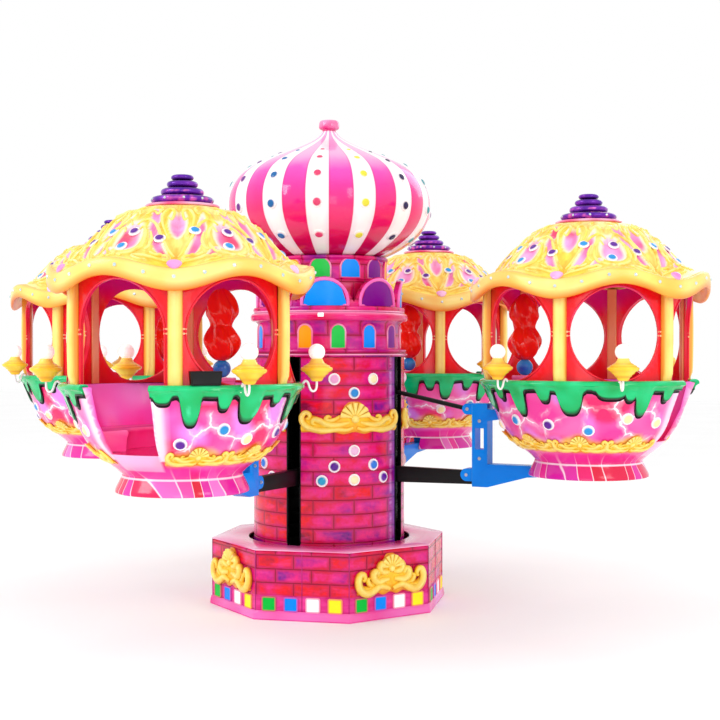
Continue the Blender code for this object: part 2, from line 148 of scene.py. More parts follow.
def tidied(piece, angle=35, fill=False):
    # doubles merged, holes filled where asked, faces turned outwards, shaded smooth
    alone(piece)
    bpy.ops.object.mode_set(mode="EDIT")
    bpy.ops.mesh.select_all(action="SELECT")
    bpy.ops.mesh.remove_doubles(threshold=0.00002)
    if fill:
        bpy.ops.mesh.select_all(action="DESELECT")
        bpy.ops.mesh.select_non_manifold()
        bpy.ops.mesh.fill_holes(sides=0)
        bpy.ops.mesh.select_all(action="SELECT")
    bpy.ops.mesh.normals_make_consistent(inside=False)
    bpy.ops.object.mode_set(mode="OBJECT")
    bpy.ops.object.shade_smooth_by_angle(angle=radians(angle))
    return piece


def smoothLine(points, count):
    # an even number of points on a smooth line through the given ones
    spread = [Vector(p) for p in points]
    spread = [spread[0] * 2 - spread[1]] + spread + [spread[-1] * 2 - spread[-2]]
    line = []
    spans = len(points) - 1
    for i in range(count):
        at = i / (count - 1) * spans
        span = min(int(at), spans - 1)
        t = at - span
        a, b, c, d = spread[span:span + 4]
        point = 2 * b + (c - a) * t + (2 * a - 5 * b + 4 * c - d) * t * t
        line.append(0.5 * (point + (3 * b - a - 3 * c + d) * t ** 3))
    return line


def turned(name, outline, steps, start=0.0, sweep=360.0, closed=False, angle=35):
    # the outline is drawn point by point, then spun round the upright axis
    bpy.ops.object.select_all(action="DESELECT")
    bpy.ops.mesh.primitive_plane_add(size=0.01)
    piece = bpy.context.object
    piece.name = name
    places = [polar(point[0], start, point[1]) for point in outline]
    if closed:
        places.append(places[0])
    bpy.ops.object.mode_set(mode="EDIT")
    bpy.ops.mesh.merge(type="CENTER")
    bpy.ops.transform.translate(value=places[0])
    for before, after in zip(places, places[1:]):
        bpy.ops.mesh.extrude_region_move(TRANSFORM_OT_translate={"value": after - before})
    bpy.ops.mesh.select_all(action="SELECT")
    bpy.ops.mesh.remove_doubles(threshold=0.00002)
    bpy.ops.mesh.spin(steps=steps, angle=radians(sweep), center=(0, 0, 0), axis=(0, 0, -1))
    bpy.ops.object.mode_set(mode="OBJECT")
    return tidied(piece, angle, sweep < 360 and closed)


def ballLine(radius, middle, steps):
    return [(radius * sin(pi * i / steps), middle - radius * cos(pi * i / steps)) for i in range(steps + 1)]


def gridPiece(name, across, up, rule, closed=True):
    # a grid whose points are laid out by a rule of two shares from 0 to 1
    bpy.ops.object.select_all(action="DESELECT")
    bpy.ops.mesh.primitive_grid_add(x_subdivisions=across, y_subdivisions=up, size=1)
    piece = bpy.context.object
    piece.name = name
    for vert in piece.data.vertices:
        vert.co = rule(vert.co.x + 0.5, vert.co.y + 0.5)
    return tidied(piece) if closed else piece


def boxPiece(name, size, middle):
    bpy.ops.object.select_all(action="DESELECT")
    bpy.ops.mesh.primitive_cube_add(size=1)
    piece = bpy.context.object
    piece.name = name
    for vert in piece.data.vertices:
        vert.co = Vector([m + c * s for m, c, s in zip(middle, vert.co, size)])
    return piece


def discPiece(vertices, radius):
    bpy.ops.object.select_all(action="DESELECT")
    bpy.ops.mesh.primitive_circle_add(vertices=vertices, radius=radius, fill_type="NGON")
    return bpy.context.object


def raised(piece, *steps):
    # the chosen faces are inset and pushed out step by step, or only pushed where the inset is 0
    bpy.ops.object.mode_set(mode="EDIT")
    for inset, rise in steps:
        if inset:
            bpy.ops.mesh.inset(thickness=inset, depth=rise)
        else:
            bpy.ops.mesh.extrude_region_move(TRANSFORM_OT_translate={"value": (0, 0, rise)})
    bpy.ops.object.mode_set(mode="OBJECT")
    return piece


def tubeAlong(name, path, thickness, taper=None, sides=2, loop=False):
    # a round bar along a path, thinner where taper says so
    bpy.ops.object.select_all(action="DESELECT")
    bpy.ops.curve.primitive_nurbs_path_add()
    piece = bpy.context.object
    piece.name = name
    curve = piece.data
    curve.splines.clear()
    line = curve.splines.new("POLY")
    line.points.add(len(path) - 1)
    for i, (point, place) in enumerate(zip(line.points, path)):
        point.co = (place[0], place[1], place[2], 1)
        point.radius = taper(i / (len(path) - 1)) if taper else 1.0
    line.use_cyclic_u = loop
    curve.dimensions = "3D"
    curve.bevel_depth = thickness
    curve.bevel_resolution = sides
    curve.use_fill_caps = True
    bpy.ops.object.convert(target="MESH")
    return tidied(bpy.context.object, 60)


def joined(name, parts):
    alone(parts[0])
    for part in parts:
        part.select_set(True)
    bpy.ops.object.join()
    piece = bpy.context.object
    piece.name = name
    return piece


def applied(piece, kind, **settings):
    alone(piece)
    bpy.ops.object.modifier_add(type=kind)
    modifier = piece.modifiers[-1]
    for key, value in settings.items():
        setattr(modifier, key, value)
    bpy.ops.object.modifier_apply(modifier=modifier.name)
    return piece


def eased(piece, width, angle=40):
    # its sharp edges rounded
    return applied(piece, "BEVEL", width=width, segments=2, limit_method="ANGLE", angle_limit=radians(angle))


def cut(piece, tool, operation="DIFFERENCE"):
    applied(piece, "BOOLEAN", object=tool, operation=operation, solver="EXACT")
    bpy.data.objects.remove(tool)


def wrapUv(piece):
    # a map round the axis: turns across, metres up
    mesh = piece.data
    layer = mesh.uv_layers.get("wrap") or mesh.uv_layers.new(name="wrap")
    for face in mesh.polygons:
        middle = azimuthOf(face.center)
        for index in face.loop_indices:
            point = mesh.vertices[mesh.loops[index].vertex_index].co
            turn = azimuthOf(point) if hypot(point.x, point.y) > 0.001 else middle
            turn -= 360 * round((turn - middle) / 360)
            layer.data[index].uv = (turn / 360, point.z)


def painted(piece, rule, pattern=None):
    # airbrushed colours, one for each point, by its place on the piece or on the pattern it was copied from
    colours = piece.data.color_attributes.new(name="paint", type="FLOAT_COLOR", domain="POINT")
    for vert, entry in zip((pattern or piece).data.vertices, colours.data):
        entry.color = rule(vert.co)
    return piece


def dressed(piece, finish, body, slot, *nodes):
    piece.data.materials.clear()
    piece.data.materials.append(finish)
    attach(piece, body)
    if nodes:
        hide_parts(*nodes)
    return piece


def onNode(name, finish):
    # a node of the files that stays as it is
    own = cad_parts[name].data
    own.materials.clear()
    own.materials.append(finish)


def copied(model, turn, name):
    piece = model.copy()
    piece.data = model.data.copy()
    piece.name = name
    bpy.context.scene.collection.objects.link(piece)
    piece.data.transform(turn)
    return piece


def repeated(model, name, turns):
    # the model's copies joined, and the model cleared away
    parts = [copied(model, turn, name) for turn in turns]
    bpy.data.objects.remove(model)
    return joined(name, parts)


cabinOrbit = 2.319
cabinTurns = [turnZ(90 * k) @ Matrix.Translation((0, -cabinOrbit, 0)) for k in range(4)]
bayTurns = [turnZ(60 * k) for k in range(6)]
postTurns = [turnZ(30 + 60 * k) for k in range(6)]


def onCabins(model, finish, slot, replaced=None):
    # one copy of a cabin piece for each of the four cabins
    for k, turn in enumerate(cabinTurns, 1):
        piece = copied(model, turn, f"{model.name}_{k}")
        dressed(piece, finish, "lift", slot, *([f"{replaced}_{k}"] if replaced else []))
    bpy.data.objects.remove(model)


def onArms(model, finish, slot, rule=None):
    # one copy for each of the four arms
    for k in range(4):
        piece = copied(model, turnZ(90 * k), f"{model.name}_{k + 1}")
        if rule:
            painted(piece, rule)
        dressed(piece, finish, "lift", slot)
    bpy.data.objects.remove(model)


def heightLine(outline):
    # radius by height on an outline that only goes up
    def radiusAt(z):
        for (r0, z0), (r1, z1) in zip(outline, outline[1:]):
            if z <= z1:
                return r0 + (r1 - r0) * max(z - z0, 0) / max(z1 - z0, 1e-6)
        return outline[-1][0]
    return radiusAt


def leanAt(radiusAt, z, step):
    return -degrees(atan2((radiusAt(z + step) - radiusAt(z - step)) / (2 * step), 1))


def seat(azimuth, radius, z, lean=0.0):
    # puts a piece's +Z outwards on a round wall, leaning up by some degrees
    return turnZ(azimuth) @ Matrix.Translation((0, -radius, z)) @ Matrix.Rotation(radians(90 - lean), 4, "X")


# Camera, light and floor

view = {"place": (4.947, -9.836, 2.1835), "turn": (89.56, 0, 25.29), "lens": 62.65}

camera = bpy.data.objects.new("camera", bpy.data.cameras.new("camera"))
bpy.context.scene.collection.objects.link(camera)
camera.location = view["place"]
camera.rotation_euler = [radians(a) for a in view["turn"]]
camera.data.lens = view["lens"]
camera.data.sensor_width = 36
bpy.context.scene.camera = camera
bpy.context.scene.view_settings.view_transform = "Standard"

studio = {"sky": "#FFFFFF", "skyStrength": 1.0, "floor": 90}

world = bpy.data.worlds.new("studio")
bpy.context.scene.world = world
world.use_nodes = True
world.node_tree.nodes["Background"].inputs[0].default_value = linear(studio["sky"])
world.node_tree.nodes["Background"].inputs[1].default_value = studio["skyStrength"]

# name, place, what it points at, size, power and spread in degrees
softBoxes = [
    ("keyBox", (-5.5, -8.5, 7.0), (0, 0, 1.9), 4.0, 330, 180),
    ("sideBox", (8.5, -5.0, 5.5), (0, 0, 1.9), 3.5, 150, 180),
    ("backBox", (3.0, 8.0, 7.5), (0, 0, 1.9), 5.0, 120, 180),
    ("fillBox", (4.0, -9.0, 2.6), (0, 0, 1.9), 3.0, 40, 180),
    ("doorBox", (2.8, -7.0, 2.25), (-0.22, -2.75, 1.66), 0.3, 0.34, 10),
]
for name, place, aim, size, power, spread in softBoxes:
    light = bpy.data.objects.new(name, bpy.data.lights.new(name, "AREA"))
    bpy.context.scene.collection.objects.link(light)
    light.location = place
    light.rotation_euler = (Vector(aim) - Vector(place)).to_track_quat("-Z", "Y").to_euler()
    light.data.size = size
    light.data.energy = power
    light.data.spread = radians(spread)

bpy.ops.object.select_all(action="DESELECT")
bpy.ops.mesh.primitive_plane_add(size=studio["floor"])
floor = bpy.context.object
floor.name = "studioFloor"
floorFinish, tree, shader, place = newFinish("paper_studio_floor", {"Roughness": 0.8})
# matt seamless paper: very faint cloudiness
tone = ramp(tree, speckle(tree, place, 0.6, 3.0), [(0.3, "#FCFCFC"), (0.7, "#FFFFFF")])
tree.links.new(tone, shader.inputs["Base Color"])
floor.data.materials.append(floorFinish)
print("carousel: camera, light and floor")


# Finishes

hotPink = "#E8187A"
magenta = "#D61A8C"
palePink = "#F7A8D0"
lilac = "#E59AF0"
lacquer = {"Roughness": 0.2, "Specular IOR Level": 0.3, "Coat Weight": 0.12, "Coat Roughness": 0.05}
bare = {"Specular IOR Level": 0.15, "Coat Weight": 0.0}


def brickFinish(name, radius, perTurn, course, shift, stops, inner=0.0, slots=False, plain=0.0):
    # glass-fibre moulding with a brick relief, airbrushed and lacquered: wet gloss, dark joints,
    # colour drifting in each brick
    finish, tree, shader, place = newFinish(name, {**lacquer, "Roughness": 0.22})
    x, y, z = addNode(tree, "SeparateXYZ", {0: place}, None)
    turn = maths(tree, "ARCTAN2", x, maths(tree, "MULTIPLY", y, -1.0))
    flat = addNode(tree, "CombineXYZ", {0: maths(tree, "MULTIPLY", turn, radius), 1: maths(tree, "ADD", z, shift)})
    sizes = {"Vector": flat, "Scale": 1.0, "Brick Width": 2 * pi * radius / perTurn, "Row Height": course,
             "Color1": (0, 0, 0, 1), "Color2": (1, 1, 1, 1), "Mortar": (0.5, 0.5, 0.5, 1), "Bias": 0.0}
    thin = addNode(tree, "TexBrick", {**sizes, "Mortar Size": 0.0060, "Mortar Smooth": 0.9}, "Fac", offset=0.5)
    brick, wide = addNode(tree, "TexBrick", {**sizes, "Mortar Size": 0.036, "Mortar Smooth": 1.0}, None, offset=0.5)
    spread = ranged(tree, speckle(tree, place, 2.1, 5.0, 0.65), 0.30, 0.70, -0.05, 0.80)
    blend = maths(tree, "SUBTRACT", maths(tree, "MULTIPLY_ADD", brick, 0.52, spread), 0.13)
    # brush marks inside the bricks
    streaks = addNode(tree, "VectorMath", {0: flat, 1: (5.0, 16.0, 1.0)}, operation="MULTIPLY")
    brushed = speckle(tree, streaks, 1.0, 3.0)
    tone = blended(tree, ranged(tree, brushed, 0.50, 0.75, 0.0, 0.40), ramp(tree, blend, stops), "#FF48AC")
    # each brick darkens to crimson towards its edges beside the joints: painted shade
    tone = blended(tree, maths(tree, "MULTIPLY", wide, 0.74), tone, "#B60046")
    tone = blended(tree, thin, tone, "#94002E")
    if plain:
        # below this height the bricks give way to a smooth pink band
        smooth = ramp(tree, brushed, [(0.35, "#D8147C"), (0.65, "#F040A0")])
        tone = blended(tree, ranged(tree, z, plain - 0.004, plain + 0.004, 1.0, 0.0), tone, smooth)
    if slots:
        # a violet band of painted shade before two of the slots, with a painted highlight down its middle, and the
        # slots' edges painted black as painted shade
        quarter = maths(tree, "MULTIPLY", turn, 2 / pi)
        share = maths(tree, "FRACT", quarter)
        side = maths(tree, "GREATER_THAN", turn, 0.0)
        paintedSlotShade = maths(tree, "MULTIPLY", ranged(tree, share, 0.80, 0.93, 0.0, 0.85), side)
        tone = blended(tree, paintedSlotShade, tone, "#5A1CA4")
        # the pale lilac line down the band is a painted highlight
        paintedSlotHighlight = maths(tree, "ABSOLUTE", maths(tree, "SUBTRACT", share, 0.875))
        paintedSlotHighlight = maths(tree, "MULTIPLY", ranged(tree, paintedSlotHighlight, 0.0, 0.026, 0.50, 0.0), ranged(tree, brushed, 0.42, 0.60))
        tone = blended(tree, maths(tree, "MULTIPLY", paintedSlotHighlight, side), tone, "#F4B4FF")
        # the slots' edges painted near black: painted shade
        edge = ranged(tree, maths(tree, "PINGPONG", quarter, 0.5), 0.0585, 0.0605, 1.0, 0.0)
        tone = blended(tree, edge, tone, "#08060E")
    if inner:
        # the side that faces inwards is painted black: painted shade inside the hollow
        plan = addNode(tree, "CombineXYZ", {0: x, 1: y})
        reach = addNode(tree, "VectorMath", {0: plan}, "Value", operation="LENGTH")
        tone = blended(tree, maths(tree, "LESS_THAN", reach, inner), tone, "#070508")
    relief = maths(tree, "MULTIPLY_ADD", wide, -0.35, 1.0)
    relief = maths(tree, "MULTIPLY_ADD", thin, -0.8, relief)
    relief = maths(tree, "MULTIPLY_ADD", speckle(tree, place, 60.0), 0.05, relief)
    surfaced(tree, shader, tone, relief, 0.006, 0.7)
    return finish


pinkBricks = [(0.0, "#4A0A7E"), (0.13, "#8E0C8E"), (0.27, "#C40E84"), (0.43, "#EA1C80"), (0.57, "#E00C50"),
              (0.71, "#EE0420"), (0.87, "#C40430"), (1.0, "#88043A")]
drumBricks = [(0.0, "#600C80"), (0.22, "#A01090"), (0.45, "#D41890"), (0.7, "#E60C74"), (1.0, "#C80840")]
towerBrick = brickFinish("fibreglass_brick_tower_airbrushed", 0.659, 12, 0.119, -0.108, pinkBricks, 0.6565, True)
baseBrick = brickFinish("fibreglass_brick_base_airbrushed", 0.98, 20, 0.112, 0.034, pinkBricks, 0.7075, plain=0.200)
drumBrick = brickFinish("fibreglass_brick_drum_airbrushed", 0.62, 14, 0.150, -0.06, drumBricks)


def airbrushFinish(name, values, drift=0.10, low="#000000", fine=0.05, grain=55.0, glow=0.0):
    # gel-coated, airbrushed by hand and lacquered: colours from the paint attribute, soft drift and orange peel
    finish, tree, shader, place = newFinish(name, {**lacquer, **values})
    paint = addNode(tree, "Attribute", attribute_name="paint")
    share = ranged(tree, speckle(tree, place, 7.0, 5.0, 0.65), 0.45, 0.75, 0.0, drift)
    tone = blended(tree, share, paint, low)
    if glow:
        tree.links.new(tone, shader.inputs["Emission Color"])
        shader.inputs["Emission Strength"].default_value = glow
    surfaced(tree, shader, tone, speckle(tree, place, grain), 0.0025, fine * 4)
    return finish


roofFinish = airbrushFinish("fibreglass_roof_cream_airbrushed", {"Roughness": 0.3}, 0.15, "#FFB02C")
icingFinish = airbrushFinish("fibreglass_icing_green_gloss", {"Roughness": 0.12, "Coat Weight": 0.2}, 0.20, "#009444")
arcadeFinish = airbrushFinish("fibreglass_arcade_red_gloss", {"Roughness": 0.15}, 0.20, "#C00414")
postFinish = airbrushFinish("fibreglass_post_cream_gloss", {"Roughness": 0.22}, 0.25, "#F0A850")
benchFinish = airbrushFinish("fibreglass_bench_pink_gloss", {"Roughness": 0.2}, 0.20, "#E01070")
sweetFinish = airbrushFinish("fibreglass_sweet_turned_gloss", {"Roughness": 0.12}, 0.12, "#C00408")
capFinish = airbrushFinish("fibreglass_cap_metallic_purple", {"Roughness": 0.24, "Metallic": 0.25}, 0.3, "#2A0A58")
lampFinish = airbrushFinish("fibreglass_lamp_golden_gloss", {"Roughness": 0.2}, 0.12, "#FF9C08")
deckFinish = airbrushFinish("fibreglass_deck_pearl_pink", {"Roughness": 0.12}, 0.2, "#F080C0")
goldFinish = airbrushFinish("fibreglass_scroll_pearl_gold", {"Roughness": 0.3, "Metallic": 0.05}, 0.30, "#FFA414",
                            0.10, 38)
gemFinish = airbrushFinish("acrylic_gem_cast", {"Roughness": 0.07, "Coat Weight": 0.3}, 0.08, fine=0.02)
# tinted acrylic with lamps behind it: even colour, a weak light of its own
panelFinish = airbrushFinish("acrylic_window_backlit", {**bare, "Roughness": 0.14}, glow=0.14)
# gloss enamel over welded plate: bright blue with a deeper shade in patches
blueFinish = airbrushFinish("steel_enamel_blue_gloss", {**bare, "Roughness": 0.25}, 0.2, "#0060D0")


def plainFinish(name, first, second, values, scale=9.0, bumpScale=70.0, bumpDepth=0.0006):
    # one paint over one body: two close tones in soft patches and a fine surface
    finish, tree, shader, place = newFinish(name, values)
    tone = ramp(tree, speckle(tree, place, scale, 5.0, 0.6), [(0.35, first), (0.68, second)])
    surfaced(tree, shader, tone, speckle(tree, place, bumpScale, 3.0), bumpDepth, 0.6)
    return finish


# powder coat on welded steel: satin black with a faint texture
blackFinish = plainFinish("steel_powder_coated_black", "#020203", "#060608",
                          {"Roughness": 0.42, "Specular IOR Level": 0.22}, bumpScale=160)
# injection-moulded housing: black with a faint grain
boxFinish = plainFinish("plastic_housing_moulded_black", "#030304", "#08080A",
                        {"Roughness": 0.40, "Specular IOR Level": 0.3}, 14, 420, 0.0003)
# extruded rubber trim on the slots' edges
rubberFinish = plainFinish("rubber_trim_extruded_black", "#030204", "#0A0612",
                           {"Roughness": 0.5, "Specular IOR Level": 0.2}, 5, 200)
# bright zinc-plated fixings
zincFinish = plainFinish("steel_zinc_plated", "#A9ADB4", "#D3D6DA", {"Roughness": 0.3, "Metallic": 0.95}, bumpScale=240)
# mill-finish steel under the deck, oiled and dark
millFinish = plainFinish("steel_hot_rolled_oiled", "#0C0A0C", "#1C1A1A", {"Roughness": 0.55, "Metallic": 0.4},
                          bumpScale=120)
# white powder-coated tube: satin, cool white
tubeFinish = plainFinish("steel_tube_powder_coated_white", "#ECE9F0", "#FFFFFF", {"Roughness": 0.25, "Coat Weight": 0.5})
# opal acrylic globe, blown: milky and bright with a soft glow
globeFinish = plainFinish("acrylic_globe_opal", "#F8F4EE", "#FFFFFF",
                          {"Roughness": 0.12, "Coat Weight": 0.6, "Emission Color": linear("#FFF6EC"),
                           "Emission Strength": 0.35, "Subsurface Weight": 0.2, "Subsurface Scale": 0.03})
# clear-silver bulb caps along the brim
bulbFinish = plainFinish("polycarbonate_bulb_silvered", "#B4D0D4", "#E8F2F4",
                         {"Roughness": 0.12, "Metallic": 0.35, "Coat Weight": 1.0})
# black airbrush line under the icing: matt, edges worn soft
lineFinish = plainFinish("paint_airbrush_line_black", "#050204", "#1A0612", {**bare, "Roughness": 0.4}, 26)
print("carousel: finishes")


# Gems: a white ring with a cut stone, modelled once

gem = {"ring": 0.050, "band": 0.0105, "rise": 0.016}

gemPattern = raised(discPiece(14, gem["ring"]), (0, 0.007), (0.004, 0.004), (gem["band"] - 0.005, -0.003),
                    (0.010, gem["rise"] * 0.7), (0.010, gem["rise"] * 0.3))
gemPattern.data.transform(Matrix.Translation((0, 0, -0.002)))


def gemSet(name, places):
    # places hold the seat, the size and the stone's colour
    stones = []
    for turn, size, code in places:
        def stonePaint(point):
            if hypot(point.x, point.y) > gem["ring"] - gem["band"]:
                return linear("#FFF8FB")
            return mixed(code, "#000000", 0 if point.z > 0.012 else 0.25)

        stone = copied(gemPattern, turn @ Matrix.Scale(size, 4), name)
        stones.append(painted(stone, stonePaint, gemPattern))
    piece = joined(name, stones)
    alone(piece)
    bpy.ops.object.shade_smooth_by_angle(angle=radians(20))
    return piece


# Gold scrolls: a ribbed shell between two curling arms, drawn flat and then laid on a round wall

def scrollModel(name, width, height, proud, crest, hub, strokes):
    # crest is the top edge and strokes the raised curls, as shares of half the width and of the height
    half = width / 2
    edge = smoothLine(crest, 60)

    def top(share):
        before = edge[0]
        for point in edge:
            if point.x >= share:
                span = max(point.x - before.x, 1e-6)
                return height * (before.y + (point.y - before.y) * min(max((share - before.x) / span, 0), 1))
            before = point
        return height * edge[-1].y

    def rule(u, v):
        x = (u * 2 - 1) * half * 0.985
        share = abs(x) / half
        low = height * (0.03 + 0.03 * cos(share * 5 * pi)) + 0.30 * height * max(share - 0.80, 0)
        z = low + v * (top(share) - low)
        swell = proud * (0.20 + 0.55 * sin(pi * v) ** 0.6)
        rib = 0.5 + 0.5 * sin(share * 30 - v * 6)
        return Vector((x, -swell - proud * 0.16 * rib * sin(pi * v), z))

    parts = [applied(gridPiece(name, 84, 9, rule, False), "SOLIDIFY", thickness=proud * 0.5, offset=-1)]
    for side in (-1, 1):
        for stroke, weight in strokes:
            path = [Vector((side * x * half, -proud * 0.62, z * height)) for x, z in stroke]
            size = min(height * 0.115 * weight, proud * 0.95)
            parts.append(tubeAlong(name, smoothLine(path, 5 * len(stroke)), size,
                                   lambda t: 0.60 + 0.60 * sin(pi * t) ** 0.8 - 0.22 * t, 1))
    # the shell's ribs and its pearl
    reach = (1 - hub) * height
    for step in range(-3, 4):
        lean = radians(step * 26)
        path = [Vector((sin(lean) * reach * t, -proud * (0.85 + 0.20 * sin(pi * t)),
                        height * hub + cos(lean) * reach * t)) for t in (0.18, 0.45, 0.7, 0.90)]
        parts.append(tubeAlong(name, smoothLine(path, 8), min(reach * 0.15, proud * 0.8), lambda t: 0.40 + 0.95 * t, 1))
    size = reach * 0.26
    pearl = turned(name, ballLine(size, 0, 6), 12)
    pearl.data.transform(Matrix.Translation((0, -proud * 0.85, height * hub - size * 0.3)))

    def goldPaintWithShade(point):
        # orange deep in the recesses is painted shade, pale gold on the proudest parts a painted highlight
        rise = min(max(-point.y / proud, 0), 1.5) / 1.5
        grain = cloud(point, 40, 0) * 0.20
        tone = mixed("#E07A10", "#FFD030", rise * 2.3 - 0.20 + grain)
        return mixed(tone, "#FFF08C", (rise - 0.62) * 2.2 + grain)

    return painted(joined(name, parts + [pearl]), goldPaintWithShade)


wingCrest = [(0, 1.0), (0.10, 0.98), (0.18, 0.88), (0.24, 0.70), (0.28, 0.56), (0.40, 0.46), (0.55, 0.46), (0.72, 0.56),
             (0.86, 0.58), (0.95, 0.44), (1.0, 0.24)]
wingStrokes = [
    ([(0.04, 0.20), (0.16, 0.13), (0.32, 0.15), (0.50, 0.12), (0.68, 0.13), (0.84, 0.20), (0.95, 0.36), (0.965, 0.54),
      (0.90, 0.66), (0.82, 0.60), (0.84, 0.48), (0.89, 0.47)], 1.15),
    ([(0.10, 0.36), (0.24, 0.31), (0.38, 0.28), (0.52, 0.31), (0.64, 0.42), (0.74, 0.45), (0.77, 0.34),
      (0.70, 0.29)], 0.90),
    ([(0.27, 0.56), (0.36, 0.46), (0.46, 0.42), (0.53, 0.47), (0.49, 0.55), (0.43, 0.52)], 0.60)]
stepCrest = [(0, 1.0), (0.12, 0.98), (0.20, 0.86), (0.28, 0.78), (0.38, 0.72), (0.46, 0.60), (0.54, 0.48), (0.62, 0.32),
             (0.72, 0.26), (0.86, 0.30), (0.95, 0.44), (1.0, 0.24)]
stepStrokes = [
    ([(0.05, 0.14), (0.20, 0.20), (0.36, 0.22), (0.50, 0.15), (0.66, 0.08), (0.82, 0.10), (0.95, 0.22), (0.985, 0.40),
      (0.93, 0.54), (0.83, 0.54), (0.79, 0.44), (0.85, 0.38)], 1.15),
    ([(0.08, 0.38), (0.24, 0.36), (0.40, 0.34), (0.52, 0.42), (0.53, 0.54), (0.45, 0.58), (0.40, 0.51),
      (0.45, 0.46)], 0.85),
    ([(0.06, 0.56), (0.17, 0.55), (0.29, 0.58), (0.34, 0.68), (0.28, 0.76), (0.21, 0.71), (0.25, 0.66)], 0.75),
    ([(0.56, 0.24), (0.66, 0.30), (0.70, 0.40), (0.63, 0.44)], 0.55)]


def laidOn(model, name, azimuth, z, radiusAt):
    # bends a flat drawing round the axis, on a wall whose radius follows the height
    piece = copied(model, Matrix.Identity(4), name)
    for vert in piece.data.vertices:
        height = z + vert.co.z
        wall = radiusAt(height)
        vert.co = polar(wall - vert.co.y, azimuth + degrees(vert.co.x / wall), height)
    return piece


# Base

base = {"corner": 1.020, "turn": -9.3, "square": 0.122, "squareZ": 0.130, "squareStep": 0.184,
        "well": 0.7055, "seamTop": 0.558, "plaqueZ": 0.198}

for node, finish in (("base_shell", baseBrick), ("base_pedestal", millFinish), ("turntable", millFinish),
                     ("mast", blackFinish), ("carriage", blackFinish)):
    onNode(node, finish)

faceTurns = [base["turn"] + 22.5 + 45 * k for k in range(8)]
apothem = base["corner"] * cos(radians(22.5))


def baseEdge(azimuth):
    return apothem / cos(radians((azimuth - base["turn"]) % 45 - 22.5))


def deckRule(u, v):
    # the deck: a thin glossy lid round the tower
    azimuth = u * 360 + base["turn"]
    loop = [(0.0, 0.5604), (0.0, 0.566), (0.03, 0.570), (0.5, 0.570), (0.97, 0.570), (1.008, 0.566), (1.008, 0.5604),
            (0.5, 0.5604), (0.0, 0.5604)]
    share, z = loop[round(v * 8)]
    return polar(base["well"] + share * (baseEdge(azimuth) + 0.003 - base["well"]), azimuth, z)


def deckPaintWithSheen(point):
    # pale pink moulding, whiter towards its edge: a painted sheen on the gloss lid
    tone = mixed("#F02090", "#FA70C0", cloud(point, 2.5, 0.4))
    return mixed(tone, "#FDCCEA", (hypot(point.x, point.y) - 0.82) * 3.6 + 0.6 * cloud(point, 3, 0))


deck = gridPiece("baseDeck", 160, 8, deckRule)
dressed(painted(deck, deckPaintWithSheen), deckFinish, "base", "pale_moulding")


def skirtRule(u, v):
    # pale flared foot of the base
    azimuth = u * 360 + base["turn"]
    loop = [(-0.010, 0.004), (0.016, 0.004), (0.022, 0.010), (0.018, 0.045), (0.012, 0.066), (0.003, 0.074),
            (-0.010, 0.074), (-0.010, 0.004)]
    out, z = loop[round(v * 7)]
    return polar(baseEdge(azimuth) + out, azimuth, z)


skirt = gridPiece("baseSkirt", 160, 7, skirtRule)
painted(skirt, lambda p: mixed(mixed("#E8208C", "#F870BC", cloud(p, 3, 0.4)), lilac, cloud(p, 2, 0.15, (5, 0, 0))))
dressed(skirt, deckFinish, "base", "pale_moulding")

# a light tile: pale rounded frame with a bright sunk panel
bpy.ops.object.select_all(action="DESELECT")
bpy.ops.mesh.primitive_plane_add(size=base["square"])
squarePattern = bpy.context.object
bpy.ops.object.mode_set(mode="EDIT")
bpy.ops.mesh.bevel(offset=0.018, segments=3, affect="VERTICES")
bpy.ops.object.mode_set(mode="OBJECT")
raised(squarePattern, (0, 0.010), (0.003, 0.003), (0.007, 0), (0.003, -0.005))
tiles = []
for azimuth in faceTurns:
    for place, code in enumerate(("#00BC3C", "#0088F4", "#FFFCFF", "#FFEE28")):
        # the frame takes a share of the panel's colour: painted glow of the panel's light
        def tilePaintWithGlow(point):
            inside = max(abs(point.x), abs(point.y)) < base["square"] / 2 - 0.0115
            return linear(code) if inside else mixed(hotPink, code, 0.35)

        aside = Matrix.Translation(((place - 1.5) * base["squareStep"], 0, 0))
        tile = copied(squarePattern, seat(azimuth, apothem - 0.001, base["squareZ"]) @ aside, "baseLights")
        tiles.append(painted(tile, tilePaintWithGlow, squarePattern))
bpy.data.objects.remove(squarePattern)
dressed(joined("baseLights", tiles), panelFinish, "base", "pale_moulding")

# seams where the base's panels meet, and a plaque of scrolls on every other face
seams = []
for k in range(8):
    corner = base["turn"] + 45 * k
    path = [polar(base["corner"] + 0.0005, corner, z) for z in (0.075, 0.3, base["seamTop"])]
    seams.append(tubeAlong("baseSeams", path, 0.004, None, 1))
    if k % 2 == 0:
        path = [polar(apothem - 0.0005, corner + 22.5, z) for z in (0.070, 0.3, base["seamTop"])]
        seams.append(tubeAlong("baseSeams", path, 0.0035, None, 1))
seam = painted(joined("baseSeams", seams), lambda p: mixed("#8A0450", magenta, cloud(p, 4)))
dressed(seam, deckFinish, "base", "brick_moulding")

plaque = scrollModel("basePlaque", 0.645, 0.335, 0.034, stepCrest, 0.66, stepStrokes)
turns = [turnZ(faceTurns[k]) @ Matrix.Translation((0, -apothem - 0.001, base["plaqueZ"])) for k in (1, 3, 5, 7)]
dressed(repeated(plaque, "basePlaques", turns), goldFinish, "base", "yellow_moulding")
print("carousel: base")


# Tower

tower = {"radius": 0.659, "wall": 0.025, "low": 0.470, "top": 2.130, "slot": 0.117, "trim": 0.0055}

